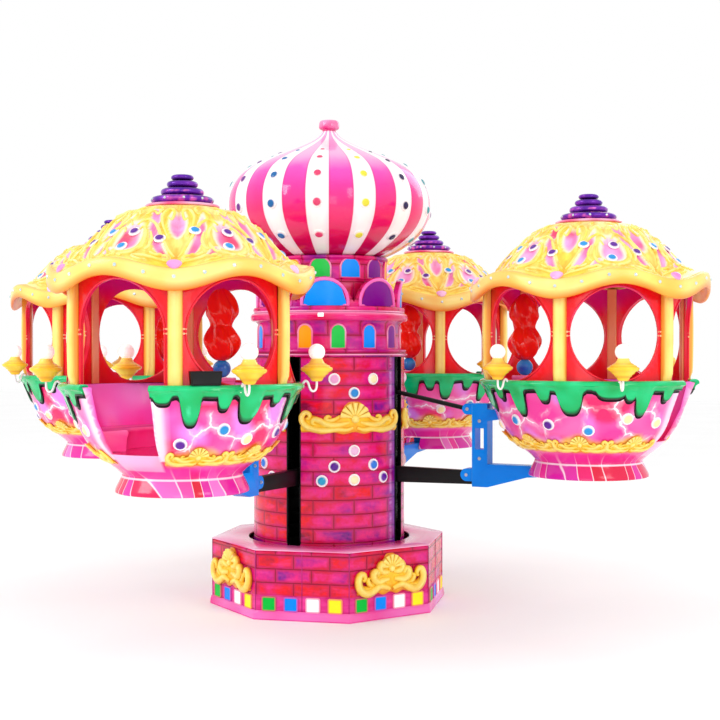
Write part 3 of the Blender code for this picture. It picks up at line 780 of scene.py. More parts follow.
slotHalf = degrees(tower["slot"] / 2 / tower["radius"])
inner = tower["radius"] - tower["wall"]
outer = tower["radius"]
outline = [(inner, tower["low"]), (outer - 0.004, tower["low"]), (outer, tower["low"] + 0.004)]
outline += [(outer, tower["low"] + 0.4 + 0.415 * i) for i in range(3)]
outline += [(outer, tower["top"] - 0.004), (outer - 0.004, tower["top"]), (inner, tower["top"])]
for k in range(4):
    wall = turned(f"towerWall_{k + 1}", outline, 24, start=90 * k + slotHalf, sweep=90 - 2 * slotHalf, closed=True)
    dressed(wall, towerBrick, "tower", "brick_moulding", f"tower_wall_{k + 1}")

# rubber trim along the slots
trims = []
for k in range(4):
    for side in (-1, 1):
        path = [polar(outer + 0.001, 90 * k + side * (slotHalf + 0.25), z) for z in (0.575, 1.0, 1.5, 2.125)]
        trims.append(tubeAlong("slotTrims", path, tower["trim"], None, 1))
dressed(joined("slotTrims", trims), rubberFinish, "tower", "black_enamel")

towerGems = [(-14.6, 1.946, "#F0A8D8"), (15.4, 1.946, "#FFF3C0"), (0, 1.83, "#2490E0"), (0, 1.351, "#F4C4E8"),
             (-14.6, 1.222, "#5A0A94"), (15.5, 1.23, "#2478E0"), (-23.5, 1.103, "#1EA0CC"), (0, 1.11, "#FFF3C0"),
             (25, 1.12, "#641EA4")]
places = [(seat(45 + 90 * k + a, 0.6595, z), 1.0, code) for k in range(4) for a, z, code in towerGems]
dressed(gemSet("towerGems", places), gemFinish, "tower", "pale_moulding")

scroll = scrollModel("towerScroll", 0.90, 0.270, 0.026, wingCrest, 0.50, wingStrokes)
pieces = [laidOn(scroll, "towerScrolls", 45 + 90 * k, 1.490, lambda z: 0.660) for k in range(4)]
dressed(joined("towerScrolls", pieces), goldFinish, "tower", "yellow_moulding")
bpy.data.objects.remove(scroll)
print("carousel: tower walls")


# Window drums and crown

outline = [(0.590, 2.1304), (0.676, 2.1304), (0.684, 2.138), (0.684, 2.150), (0.672, 2.156), (0.668, 2.165),
           (0.676, 2.175), (0.672, 2.187), (0.636, 2.192), (0.622, 2.200), (0.620, 2.22), (0.620, 2.30),
           (0.620, 2.38), (0.622, 2.408), (0.634, 2.424), (0.648, 2.436), (0.650, 2.500), (0.654, 2.512),
           (0.662, 2.522), (0.664, 2.536), (0.658, 2.5495), (0, 2.5495), (0, 2.500), (0.590, 2.500)]
lowerDrum = turned("windowDrum", outline, 96, closed=True, angle=50)
dressed(lowerDrum, drumBrick, "tower", "brick_moulding", "lower_drum")

rings = []
for r, z in ((0.676, 2.147), (0.652, 2.512)):
    outline = [(r - 0.006, z - 0.008), (r + 0.006, z - 0.007), (r + 0.010, z), (r + 0.006, z + 0.007),
               (r - 0.006, z + 0.008)]
    rings.append(turned("drumRing", outline, 96, closed=True))
ring = painted(joined("drumRings", rings), lambda p: mixed(palePink, magenta, 0.15 + 0.9 * cloud(p, 3, 0)))
dressed(ring, deckFinish, "tower", "pale_moulding")

outline = [(0.646, 2.432), (0.668, 2.433), (0.680, 2.440), (0.687, 2.455), (0.688, 2.474), (0.683, 2.490),
           (0.672, 2.500), (0.656, 2.503), (0.646, 2.503)]
ledge = turned("drumLedge", outline, 96, closed=True)
# crimson and pink, paler along its top edge: a painted highlight
painted(ledge, lambda p: mixed(mixed("#E00C58", "#F02090", cloud(p, 4)), palePink, (p.z - 2.486) * 60))
dressed(ledge, deckFinish, "tower", "brick_moulding")
ledgeLight = eased(boxPiece("ledgeLight", (0.050, 0.016, 0.034), (0, -0.686, 2.478)), 0.004)
ledgeLight.data.transform(turnZ(20.9))
dressed(ledgeLight, globeFinish, "tower", "pale_moulding")

outline = [(0.460, 2.5504), (0.496, 2.5504), (0.496, 2.70), (0.496, 2.78), (0.502, 2.786), (0.496, 2.793),
           (0.496, 2.86), (0.496, 2.945), (0.508, 2.955), (0.516, 2.965), (0.516, 2.978), (0.510, 2.9846),
           (0, 2.9846), (0, 2.9), (0.460, 2.9)]
upperDrum = turned("upperWindowDrum", outline, 96, closed=True)
dressed(upperDrum, drumBrick, "tower", "brick_moulding", "upper_drum")

windowCodes = ["#20C84C", "#0090FF", "#7E0090", "#FFA010"]
# panes and frames: half width, sill, spring, rise and the wall's radius
windowRows = [{"count": 14, "first": 33.6, "pane": (0.058, 2.205, 2.335, 0.062, 0.622),
               "frame": (0.062, 2.202, 2.335, 0.066, 0.622), "bar": 0.0085},
              {"count": 12, "first": 18.0, "pane": (0.084, 2.802, 2.880, 0.080, 0.499),
               "frame": (0.089, 2.799, 2.880, 0.086, 0.499), "bar": 0.008}]
arches = {"count": 8, "first": 23.3, "pane": (0.178, 2.556, 2.588, 0.176, 0.634),
          "hood": (0.196, 2.560, 2.586, 0.192, 0.636), "bar": 0.015}


def archPanel(halfWidth, low, spring, rise, radius, azimuth, code):
    # a coloured pane with an arched head, bent to the wall
    def rule(u, v):
        x = (u * 2 - 1) * halfWidth
        top = spring + rise * sqrt(max(1 - (x / halfWidth) ** 2, 0.0))
        return polar(radius, azimuth + degrees(x / radius), low + v * (top - low))

    def glow(point):
        share = (point.z - low) / (spring + rise - low)
        return mixed(mixed(code, "#000000", 0.12 * (1 - share)), "#FFFFFF", 0.015 * share)

    pane = applied(gridPiece("windowPanes", 10, 6, rule, False), "SOLIDIFY", thickness=0.008, offset=0)
    return painted(tidied(pane, 50), glow)


def archFrame(name, halfWidth, low, spring, rise, radius, azimuth, thickness):
    side = degrees(halfWidth / radius)
    path = [polar(radius, azimuth - side, z) for z in (low, (low + spring) / 2)]
    for step in range(17):
        lean = pi - pi * step / 16
        path.append(polar(radius, azimuth + degrees(halfWidth * cos(lean) / radius), spring + rise * sin(lean)))
    path += [polar(radius, azimuth + side, z) for z in ((low + spring) / 2, low)]
    return tubeAlong(name, path, thickness, None, 2, True)


panes = []
frames = []
for row in windowRows:
    for k in range(row["count"]):
        at = row["first"] + 360 / row["count"] * k
        panes.append(archPanel(*row["pane"], at, windowCodes[(k if k < 8 else k - row["count"]) % 4]))
        frames.append(archFrame("windowFrames", *row["frame"], at, row["bar"]))
archTurns = [arches["first"] + 360 / arches["count"] * k for k in range(arches["count"])]
for k, at in enumerate(archTurns):
    panes.append(archPanel(*arches["pane"], at, "#7A008A" if k % 2 else "#0090FF"))
dressed(joined("windowPanes", panes), panelFinish, "tower", "pale_moulding")
windowFrame = painted(joined("windowFrames", frames), lambda p: mixed(hotPink, palePink, cloud(p, 5, 0.45)))
dressed(windowFrame, deckFinish, "tower", "pale_moulding")

hoods = [archFrame("crownHoods", *arches["hood"], at, arches["bar"]) for at in archTurns]
hood = joined("crownHoods", hoods)
painted(hood, lambda p: mixed(mixed("#F030A8", "#FA7CCC", cloud(p, 4)), lilac, cloud(p, 2, 0)))
dressed(hood, deckFinish, "tower", "pale_moulding")
onNode("crown", drumBrick)
print("carousel: drums and crown")


# Dome

dome = {"gores": 14, "whiteAt": 20.3, "edge": 0.240, "low": 2.986, "top": 4.100}
domeLine = [(0.470, 2.986), (0.62, 3.060), (0.77, 3.170), (0.856, 3.290), (0.885, 3.413), (0.870, 3.550),
            (0.795, 3.685), (0.68, 3.775), (0.56, 3.835), (0.42, 3.895), (0.29, 3.950), (0.175, 4.005),
            (0.100, 4.055), (0.062, 4.100)]
domeCurve = smoothLine(domeLine, 60)
domeRadius = heightLine(domeCurve)


def domeRule(u, v):
    azimuth = u * 360
    if v < 0.001:
        return Vector((0, 0, dome["low"]))
    if v > 0.999:
        return Vector((0, 0, dome["top"]))
    point = domeCurve[min(int((v - 0.001) * 60.9), 59)]
    # 0 in the middle of a white gore, 0.5 in the middle of a pink one
    at = (azimuth - dome["whiteAt"]) * dome["gores"] / 360
    share = abs(at - round(at))
    bulge = 0.010 * cos(share * 2 * pi) if share < 0.25 else -0.006 * sin((share - 0.25) * 2 * pi)
    puff = 0.010 * (1 - abs(cos((share * 2) * pi)))
    return polar(point.x * (1 + (bulge - puff) * min(point.x, 0.5)), azimuth, point.y)


domePiece = gridPiece("goredDome", 336, 61, domeRule)
wrapUv(domePiece)
# gel-coated glass fibre, masked and sprayed: crisp stripe edges, each pink stripe pale at the top, a painted highlight,
# and crimson below, painted shade
domeFinish, tree, shader, place = newFinish("fibreglass_dome_candy_gloss", {
    "Roughness": 0.14, "Specular IOR Level": 0.4, "Coat Weight": 0.3, "Coat Roughness": 0.04})
across, up = addNode(tree, "SeparateXYZ", {0: addNode(tree, "UVMap", uv_map="wrap")}, None)[:2]
gore = maths(tree, "MULTIPLY_ADD", across, dome["gores"], -dome["whiteAt"] * dome["gores"] / 360)
near = maths(tree, "PINGPONG", gore, 0.5)
mask = ranged(tree, near, dome["edge"] - 0.008, dome["edge"] + 0.008)
drift = maths(tree, "MULTIPLY_ADD", speckle(tree, place, 2.2, 3.0), 0.22, -0.11)
level = ranged(tree, maths(tree, "ADD", up, drift), 2.98, 4.08)
pink = ramp(tree, level, [(0.0, "#B80850"), (0.16, "#E01058"), (0.34, "#F41C74"), (0.50, "#FF2C9C"), (0.62, "#FA46B8"),
                          (0.72, "#F690D0"), (1.0, "#F4B0DC")])
white = blended(tree, ranged(tree, near, 0.10, dome["edge"], 0.0, 0.55), "#FFFDFE", "#FBD8EA")
deep = blended(tree, ranged(tree, near, dome["edge"] + 0.05, dome["edge"], 0.0, 0.45), pink, "#D00A5C")
relief = maths(tree, "MULTIPLY_ADD", mask, -0.5, speckle(tree, place, 30.0))
surfaced(tree, shader, blended(tree, mask, white, deep), relief, 0.002, 0.35)
dressed(domePiece, domeFinish, "tower", "pale_moulding", "dome")

finialLine = smoothLine([(0.0, 4.1004), (0.040, 4.1006), (0.058, 4.103), (0.060, 4.114), (0.076, 4.119), (0.087, 4.130),
                         (0.089, 4.152), (0.086, 4.178), (0.076, 4.192), (0.050, 4.198), (0.0, 4.200)], 32)
finial = turned("domeButton", [(max(p.x, 0), p.y) for p in finialLine], 40)
painted(finial, lambda p: mixed(palePink, hotPink, 0.55 + (4.15 - p.z) * 8 + 0.4 * cloud(p, 20, 0)))
dressed(finial, deckFinish, "tower", "brick_moulding", "dome_finial")

columnCodes = {-2: "#6A0A88", -1: "#0A64A8", 0: "#E04070", 1: "#E8E040", 2: "#20084C", 3: "#0A94A0"}
places = []
for k in range(dome["gores"]):
    azimuth = dome["whiteAt"] + 360 / dome["gores"] * k
    code = columnCodes[((k if k < 8 else k - 14) + 2) % 6 - 2]
    for z, size in ((3.14, 0.95), (3.385, 0.95), (3.620, 0.88), (3.770, 0.74), (3.865, 0.55)):
        turn = seat(azimuth, domeRadius(z) * 1.005 - 0.001, z, leanAt(domeRadius, z, 0.01))
        places.append((turn, size, code))
dressed(gemSet("domeGems", places), gemFinish, "tower", "pale_moulding")
print("carousel: dome")


# Arms, stays and brackets

def bevelled(node, name, width, finish, slot):
    # the node's own shape with its edges eased
    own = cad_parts[node]
    piece = copied(own, own.matrix_world, name)
    for key in list(piece.keys()):
        del piece[key]
    piece.parent = None
    piece.matrix_world = Matrix.Identity(4)
    alone(piece)
    bpy.ops.object.mode_set(mode="EDIT")
    bpy.ops.mesh.select_all(action="SELECT")
    bpy.ops.mesh.remove_doubles(threshold=0.0001)
    bpy.ops.mesh.dissolve_limited(angle_limit=radians(2))
    bpy.ops.object.mode_set(mode="OBJECT")
    eased(piece, width)
    bpy.ops.object.shade_smooth_by_angle(angle=radians(35))
    return dressed(piece, finish, "lift", slot, node)


def blueWithPaintedHighlight(point):
    # pale cyan on the side towards the tower: a painted highlight
    return mixed("#7CDCFA", mixed("#007CE8", "#0092FC", cloud(point, 5)), (hypot(point.x, point.y) - 1.357) * 400)


for k in range(1, 5):
    bevelled(f"arm_{k}", f"boxArm_{k}", 0.005, blackFinish, "black_enamel")
    painted(bevelled(f"bracket_{k}", f"liftBracket_{k}", 0.004, blueFinish, "blue_enamel"), blueWithPaintedHighlight)
    onNode(f"stay_{k}", blackFinish)

# lugs on the bracket's upright: they hold the ends of the arm and of the stay
lug = {"half": 0.054, "low": (1.300, 1.150, 0.053), "high": (1.308, 1.697, 0.046)}
lugs = []
for y, z, radius in (lug["low"], lug["high"]):
    bpy.ops.object.select_all(action="DESELECT")
    bpy.ops.mesh.primitive_cylinder_add(vertices=32, radius=radius, depth=2 * lug["half"],
                                        rotation=(0, radians(90), 0), location=(0, -y, z))
    bpy.ops.object.transform_apply(location=True, rotation=True, scale=True)
    piece = bpy.context.object
    for vert in piece.data.vertices:
        if vert.co.y < -y - 0.001:
            vert.co.y = -1.3548
            vert.co.z = z + (radius if vert.co.z > z else -radius)
    lugs.append(eased(tidied(piece), 0.004))
# the lugs carry the same painted highlight on their side towards the tower
onArms(joined("bracketLugs", lugs), blueFinish, "blue_enamel", lambda p: blueWithPaintedHighlight(p * 1.5))

# hexagon heads on washers
bolt = raised(discPiece(12, 0.014), (0, 0.003), (0.0045, 0), (0, 0.009), (0.002, 0.0015))
spots = [(lug["half"] + 0.0002, *lug["low"][:2]), (lug["half"] + 0.0002, *lug["high"][:2]),
         (0.0702, 1.422, 1.600), (0.0702, 1.422, 1.290)]
turns = [Matrix.Translation((side * x, -y, z)) @ Matrix.Rotation(radians(90 * side), 4, "Y")
         for side in (-1, 1) for x, y, z in spots]
onArms(repeated(bolt, "bracketBolts", turns), zincFinish, "steel")
print("carousel: arms and brackets")


# Cups

cup = {"door": 18.5, "foot": 24, "sill": 1.481}

outside = smoothLine([(0.424, 1.315), (0.462, 1.352), (0.532, 1.409), (0.606, 1.475), (0.669, 1.547), (0.712, 1.625),
                      (0.748, 1.720), (0.792, 1.830), (0.834, 1.930)], 44)
foot = [(0.440, 1.1850), (0.468, 1.1852), (0.474, 1.190), (0.4735, 1.203), (0.466, 1.222), (0.452, 1.250),
        (0.438, 1.278), (0.428, 1.300)]
inside = [(0.836, 1.934), (0.832, 1.9365), (0.800, 1.9366), (0.768, 1.9366), (0.763, 1.932), (0.764, 1.900),
          (0.742, 1.810), (0.720, 1.720), (0.680, 1.640), (0.641, 1.560), (0.610, 1.512), (0.590, 1.480),
          (0.584, 1.4755), (0.40, 1.4752), (0.2, 1.4752), (0, 1.4752)]
under = [(0, 1.4448), (0.30, 1.4448), (0.500, 1.4448), (0.440, 1.380), (0.398, 1.330), (0.420, 1.250)]
cupRadius = heightLine(foot[2:] + outside + [(0.836, 1.96)])
cupShell = turned("cupShell", under + foot + outside + inside, 144, angle=50)
for vert in cupShell.data.vertices:
    # the hollow under the floor clears the seat of the bracket, as on the node
    if hypot(vert.co.x, vert.co.y) < 0.001 and vert.co.z < 1.46:
        vert.co.z = 1.4448
doorWay = [(0.480, cup["sill"]), (1.0, cup["sill"]), (1.0, 2.1), (0.480, 2.1)]
cut(cupShell, turned("doorTool", doorWay, 6, start=-cup["door"], sweep=2 * cup["door"], closed=True))
cut(cupShell, boxPiece("notchTool", (0.162, 0.240, 0.200), (0, 0.420, 1.200)))
tidied(cupShell, 40)
applied(cupShell, "TRIANGULATE")
wrapUv(cupShell)


def cupPaint(point):
    # alpha says where the lightning may show
    azimuth = azimuthOf(point)
    blot = cloud(point, 4.2, 0, (1.7, 0, 0))
    fine = cloud(point, 11, 0)
    if point.z > 1.46 and hypot(point.x, point.y) < cupRadius(point.z) - 0.012 or point.z > 1.934:
        tone = mixed("#FF50C4", "#F88CEC", (point.z - 1.70) * 4 + 0.6 * blot)
        tone = mixed(tone, "#FF2C84", (1.66 - point.z) * 12 + 0.4 * fine)
        return tone[:3] + (0.0,)
    tone = mixed("#F468B4", "#F0329C", 0.5 + 1.8 * blot)
    tone = mixed(tone, "#F01468", cloud(point, 3.1, -0.02, (0, 4, 0)) * 4.0)
    tone = mixed(tone, "#E888EC", cloud(point, 4.6, -0.08, (0, 0, 7)) * 3.4)
    # gold overspray behind the festoons, in bumps
    bump = 0.5 + 0.5 * cos(radians((abs(azimuth) - 43) * 360 / 38))
    crest = 1.500 + 0.062 * bump + 0.016 * fine
    if abs(azimuth) > cup["door"] + 3:
        gold = mixed("#FA9A34", "#FFCC48", 0.5 + 1.4 * fine)
        tone = mixed(tone, gold, min((crest - point.z) / 0.050, (point.z - 1.385) / 0.04, 0.95))
    if point.z < 1.425:
        tone = mixed(tone, "#F4349C", (1.425 - point.z) * 16)
    jamb = abs(azimuth) - cup["door"]
    if 0 < jamb < 9 and point.z > 1.44:
        tone = mixed("#FCDCF4", tone, (jamb - 3.5) / 4.0)
    if jamb < 0 and point.z > 1.36:
        tone = mixed(tone, "#FBB8DC", 0.8)
    return tone[:3] + (1.0 if jamb > 4 else 0.25,)


painted(cupShell, cupPaint)
# gel-coated glass fibre: forked white lightning over pink clouds, and a foot striped in sprayed wedges
cupFinish, tree, shader, place = newFinish("fibreglass_cup_airbrushed", {
    "Roughness": 0.17, "Specular IOR Level": 0.35, "Coat Weight": 0.25, "Coat Roughness": 0.05})
paint = addNode(tree, "Attribute", out=None, attribute_name="paint")
across, up = addNode(tree, "SeparateXYZ", {0: addNode(tree, "UVMap", uv_map="wrap")}, None)[:2]
flat = addNode(tree, "CombineXYZ", {0: maths(tree, "MULTIPLY", across, 4.4), 1: up})
warp = speckle(tree, flat, 7.0, 3.0, 0.6, "Color")
push = addNode(tree, "VectorMath", {0: warp, 1: (0.13, 0.13, 0.0)}, operation="MULTIPLY")
bent = addNode(tree, "VectorMath", {0: flat, 1: push}, operation="ADD")
cells = addNode(tree, "TexVoronoi", {"Vector": bent, "Scale": 3.4}, "Distance", feature="DISTANCE_TO_EDGE",
                voronoi_dimensions="2D")
streak = maths(tree, "MAXIMUM", ranged(tree, cells, 0.012, 0.030, 1.0, 0.0), ranged(tree, cells, 0.0, 0.13, 0.40, 0.0))
keep = maths(tree, "MULTIPLY", ranged(tree, speckle(tree, flat, 4.5), 0.40, 0.52), ranged(tree, up, 1.47, 1.54))
keep = maths(tree, "MULTIPLY", keep, paint["Alpha"])
lit = blended(tree, maths(tree, "MULTIPLY", streak, keep), paint["Color"], "#FFF4FC")
# the foot's wedges
slant = ranged(tree, up, 1.18, 1.44, 0.0, 0.55)
wedge = maths(tree, "ADD", maths(tree, "MULTIPLY", across, float(cup["foot"])), slant)
wedge = maths(tree, "MULTIPLY_ADD", speckle(tree, flat, 1.6, 1.0, noise_dimensions="2D"), 3.2, wedge)
random = addNode(tree, "TexWhiteNoise", {"W": maths(tree, "FLOOR", wedge)}, "Value", noise_dimensions="1D")
wedgeTone = ramp(tree, random, [(0.0, "#D80A34"), (0.28, "#E8106C"), (0.5, "#D410A8"), (0.72, "#F4389C"),
                                (0.86, "#EE5CB8"), (1.0, "#E890EC")])
line = ranged(tree, maths(tree, "PINGPONG", wedge, 0.5), 0.012, 0.060, 0.85, 0.0)
wedgeTone = blended(tree, line, wedgeTone, "#FFF0F8")
footMask = maths(tree, "MAXIMUM", ranged(tree, up, 1.306, 1.314, 1.0, 0.0), ranged(tree, up, 1.31, 1.40, 0.40, 0.0))
footMask = maths(tree, "MULTIPLY", footMask, maths(tree, "LESS_THAN", up, 1.443))
whole = blended(tree, footMask, lit, wedgeTone)
neck = maths(tree, "ABSOLUTE", maths(tree, "SUBTRACT", up, 1.300))
whole = blended(tree, ranged(tree, neck, 0.004, 0.009, 0.9, 0.0), whole, "#FFEAF6")
surfaced(tree, shader, whole, speckle(tree, place, 45.0), 0.002, 0.2)
onCabins(cupShell, cupFinish, "pale_moulding", "bowl")

# gold festoons low on the cup, and gems above them
festoon = scrollModel("cupScroll", 0.415, 0.142, 0.017, wingCrest, 0.50, wingStrokes)
pieces = [laidOn(festoon, "cupFestoons", side * a, 1.402, lambda z: cupRadius(z) + 0.001)
          for side in (1, -1) for a in (43, 81, 119, 157)]
bpy.data.objects.remove(festoon)
onCabins(joined("cupFestoons", pieces), goldFinish, "yellow_moulding")

gemSpots = [(32, 1.565, "#5A0A94"), (55, 1.660, "#1E94DC"), (71, 1.590, "#FFF0B0"), (97, 1.620, "#5A0A94"),
            (122, 1.650, "#1E94DC"), (146, 1.60, "#FFF0B0"), (168, 1.62, "#5A0A94"), (-31, 1.640, "#FFF0B0"),
            (-52, 1.675, "#FFF0B0"), (-75, 1.585, "#1E94DC"), (-99.5, 1.625, "#5A0A94"), (-124, 1.650, "#1E94DC"),
            (-148, 1.60, "#FFF0B0")]
places = [(seat(a, cupRadius(z) + 0.001, z, leanAt(cupRadius, z, 0.02)), 0.95, code) for a, z, code in gemSpots]
onCabins(gemSet("cupGems", places), gemFinish, "pale_moulding")
print("carousel: cups")


# Icing on the rim

icing = {"valley": 1.872, "top": 1.9372, "across": 440}
# turn from the doorway, lowest height and half width of each drip
drips = [(24, 1.825, 4.2), (37, 1.685, 4.8), (53, 1.785, 3.4), (67, 1.705, 6.4), (84, 1.812, 3.6), (101, 1.690, 4.6),
         (117, 1.800, 3.6), (132, 1.715, 6.0), (148, 1.795, 3.4), (161, 1.700, 4.2), (176, 1.812, 4.2),
         (190, 1.735, 5.0), (203, 1.800, 3.4), (214.4, 1.712, 5.0), (230, 1.800, 3.6), (244.4, 1.690, 4.6),
         (261.1, 1.793, 3.6), (275.3, 1.705, 6.8), (297.1, 1.818, 8.0), (307.3, 1.800, 3.2), (315, 1.690, 4.6),
         (330.3, 1.795, 3.4)]


def dripLine(azimuth):
    low = icing["valley"] + 0.006 * sin(radians(azimuth * 13))
    for middle, bottom, half in drips:
        share = abs(azimuth - middle) / half
        if share < 1.25:
            fall = (1 - min(share, 1) ** 3) ** 0.5 if share < 1 else 0
            flare = 0.10 * max(1.25 - share, 0) / 0.25 if share > 1 else 0.10
            low = min(low, icing["valley"] - (icing["valley"] - bottom) * max(fall, flare))
    return low


def icingRule(u, v):
    # up the hidden side, over the top, and down the front to the drip's lip
    azimuth = cup["door"] + u * (360 - 2 * cup["door"])
    low = dripLine(azimuth)
    puff = 0.004 * noise.noise(Vector((azimuth * 0.08, 0, 3)))
    i = round(v * 26)
    top = [(0.792, icing["top"]), (0.794, 1.947), (0.803, 1.954), (0.822, 1.957), (0.842, 1.957), (0.857, 1.951),
           (0.866, 1.939), (0.868, 1.922)]
    if i < 8:
        return polar(top[i][0] + puff, azimuth, top[i][1])
    if i < 21:
        run = (i - 7) / 13
        z = 1.922 + (low - 1.922) * run
        bulge = 0.020 - 0.006 * run + 0.010 * max(run - 0.6, 0) / 0.4
        if run > 0.86:
            bulge *= sqrt(max(1 - ((run - 0.86) / 0.14) ** 2, 0.10))
        shoulder = 0.014 * max(1 - run * 3.5, 0)
        return polar(cupRadius(z) + bulge + shoulder + puff, azimuth, z)
    back = (i - 20) / 6
    z = low + (icing["top"] - low) * back
    return polar(cupRadius(z) + 0.0012 if back < 0.999 else 0.792, azimuth, min(z, icing["top"]))


def icingPaintWithHighlight(point):
    above = point.z - dripLine(azimuthOf(point) % 360)
    tone = mixed("#00B45C", "#08CC7C", cloud(point, 9))
    # lighter green along the top of the roll is a painted highlight; the green is deeper lower on the drips
    tone = mixed(tone, "#50F0B4", (point.z - 1.930) * 24 * cloud(point, 14))
    tone = mixed(tone, "#00964A", (1.86 - point.z) * 2.2)
    return mixed("#010503", tone, (above - 0.011) / 0.012)


icingPiece = tidied(gridPiece("rimIcing", icing["across"], 26, icingRule, False), 60, True)
onCabins(painted(icingPiece, icingPaintWithHighlight), icingFinish, "green_moulding", "rim_icing")


def shadeRule(u, v):
    # the dark sprayed line that follows the drips on the cup
    azimuth = cup["door"] + 0.2 + u * (359.6 - 2 * cup["door"])
    rise, proud = [(0.012, 0.003), (-0.004, 0.003), (-0.012, 0.0025), (-0.016, 0.0012), (0.012, 0.0012)][round(v * 4)]
    z = dripLine(azimuth) + rise
    return polar(cupRadius(z) + proud, azimuth, z)


onCabins(gridPiece("icingShadow", icing["across"], 4, shadeRule), lineFinish, "green_moulding")

# the black box on the front cabin's rim, a little narrower below and with a sunk front
box = {"size": (0.212, 0.062, 0.092), "place": (0, -0.836, 2.003), "turn": 43.5, "narrow": 0.92}
rimBox = boxPiece("rimBox", box["size"], (0, 0, 0))
for vert in rimBox.data.vertices:
    if vert.co.z < 0:
        vert.co.x *= box["narrow"]
        vert.co.y *= box["narrow"]
alone(rimBox)
bpy.ops.object.mode_set(mode="EDIT")
bpy.ops.mesh.select_all(action="DESELECT")
bpy.ops.object.mode_set(mode="OBJECT")
for face in rimBox.data.polygons:
    face.select = face.normal.y < -0.9
raised(rimBox, (0.008, 0), (0.002, -0.006))
tidied(eased(rimBox, 0.004, 50))
rimBox.data.transform(cabinTurns[0] @ turnZ(box["turn"]) @ Matrix.Translation(box["place"]))
dressed(rimBox, boxFinish, "lift", "black_enamel")
print("carousel: icing")


# Lamps round the rim

lamp = {"orbit": 0.955, "angles": (60, 120, 240, 300), "globe": 0.060, "globeZ": 2.172, "tube": 0.0085}
lampTurns = [Matrix.Translation(polar(lamp["orbit"], a, 0)) for a in lamp["angles"]]
bodyLine = [(0, 1.962), (0.030, 1.962), (0.038, 1.966), (0.044, 1.976), (0.052, 1.990), (0.060, 1.994),
            (0.066, 2.006), (0.080, 2.014), (0.088, 2.026), (0.104, 2.034), (0.113, 2.042), (0.116, 2.050),
            (0.114, 2.058), (0.104, 2.064), (0.098, 2.066), (0.096, 2.072), (0.078, 2.080), (0.072, 2.086),
            (0.056, 2.094), (0.052, 2.102), (0.046, 2.110), (0.044, 2.120), (0.036, 2.126), (0, 2.126)]


def lampPaintWithShadeAndHighlight(point):
    # darker orange in the grooves is painted shade, paler yellow on the top a painted highlight
    groove = min(abs(point.z - z) for z in (1.992, 2.010, 2.030, 2.068, 2.084, 2.098))
    tone = mixed("#E88A08", mixed("#FFC020", "#FFDC40", cloud(point, 12)), groove / 0.004)
    return mixed(tone, "#FFF0A0", (point.z - 2.06) * 6)


bodies = repeated(turned("lampBodies", bodyLine, 32, angle=50), "lampBodies", lampTurns)
onCabins(painted(bodies, lampPaintWithShadeAndHighlight), lampFinish, "yellow_moulding")
globe = turned("lampGlobes", ballLine(lamp["globe"], lamp["globeZ"], 14), 28)
onCabins(repeated(globe, "lampGlobes", lampTurns), globeFinish, "pale_moulding")
tubeLine = [(0.838, 1.908), (0.858, 1.950), (0.876, 1.966), (0.893, 1.950), (0.903, 1.918), (0.918, 1.894),
            (0.938, 1.894), (0.952, 1.916), (0.955, 1.966)]
tubes = [tubeAlong("lampTubes", smoothLine([polar(r, a, z) for r, z in tubeLine], 36), lamp["tube"], None, 3)
         for a in lamp["angles"]]
onCabins(joined("lampTubes", tubes), tubeFinish, "steel")
print("carousel: lamps")


# Arcade: red wall with oval openings, cream posts

arcade = {"outer": 0.797, "inner": 0.769, "low": 1.9374, "top": 2.719, "ovalZ": 2.302, "half": 0.335, "tall": 0.350}
levels = [arcade["low"] + (arcade["top"] - arcade["low"]) * i / 22 for i in range(23)]
outline = [(arcade["inner"], arcade["low"])] + [(arcade["outer"], z) for z in levels]
outline += [(arcade["inner"], z) for z in levels[:0:-1]]
wall = turned("cabinArcade", outline, 144, closed=True, angle=40)
# its top edge dips at the posts, under the roof's valleys
for vert in wall.data.vertices:
    if vert.co.z > arcade["top"] - 0.001:
        vert.co.z -= 0.020 * (0.5 - 0.5 * cos(radians(6 * azimuthOf(vert.co)))) ** 3
for bay, turn in enumerate(bayTurns):
    bpy.ops.object.select_all(action="DESELECT")
    bpy.ops.mesh.primitive_cylinder_add(vertices=48, radius=1, depth=0.4)
    oval = bpy.context.object
    shape = Matrix.Diagonal((arcade["half"], 1, arcade["tall"], 1)) @ Matrix.Rotation(radians(90), 4, "X")
    oval.data.transform(Matrix.Translation((0, -arcade["outer"], arcade["ovalZ"])) @ shape)
    if bay == 0:
        cut(oval, boxPiece("doorTool", (2 * arcade["half"], 0.4, 0.804), (0, -0.8, 1.9)), "UNION")
    oval.data.transform(turn)
    cut(wall, oval)
tidied(wall, 40)
applied(wall, "TRIANGULATE")


def ovalShare(point):
    # 1 on an opening's edge, more outside it
    azimuth = azimuthOf(point)
    x = arcade["outer"] * sin(radians(azimuth - 60 * round(azimuth / 60)))
    if abs(azimuth) < 30 and point.z < arcade["ovalZ"]:
        return abs(x) / arcade["half"]
    return hypot(x / arcade["half"], (point.z - arcade["ovalZ"]) / arcade["tall"])


def arcadePaintWithLightAndShade(point):
    share = ovalShare(point)
    tone = mixed("#FF1022", "#F4081C", cloud(point, 5))
    tone = mixed(tone, "#C80616", (share - 1.16) * 2.4)
    # paler pink-red on the openings' edges: the reveals' own colour with a painted highlight
    tone = mixed("#F4304C", tone, (share - 1.02) / 0.06)
    if hypot(point.x, point.y) < 0.780:
        tone = mixed(tone, "#E0189C", (point.z - 2.47) * 4 + 0.5 * cloud(point, 4, 0))
        # darker red low on the inside: painted shade
        tone = mixed(tone, "#A00614", (2.12 - point.z) * 3)
    return tone


onCabins(painted(wall, arcadePaintWithLightAndShade), arcadeFinish, "red_moulding", "arcade")

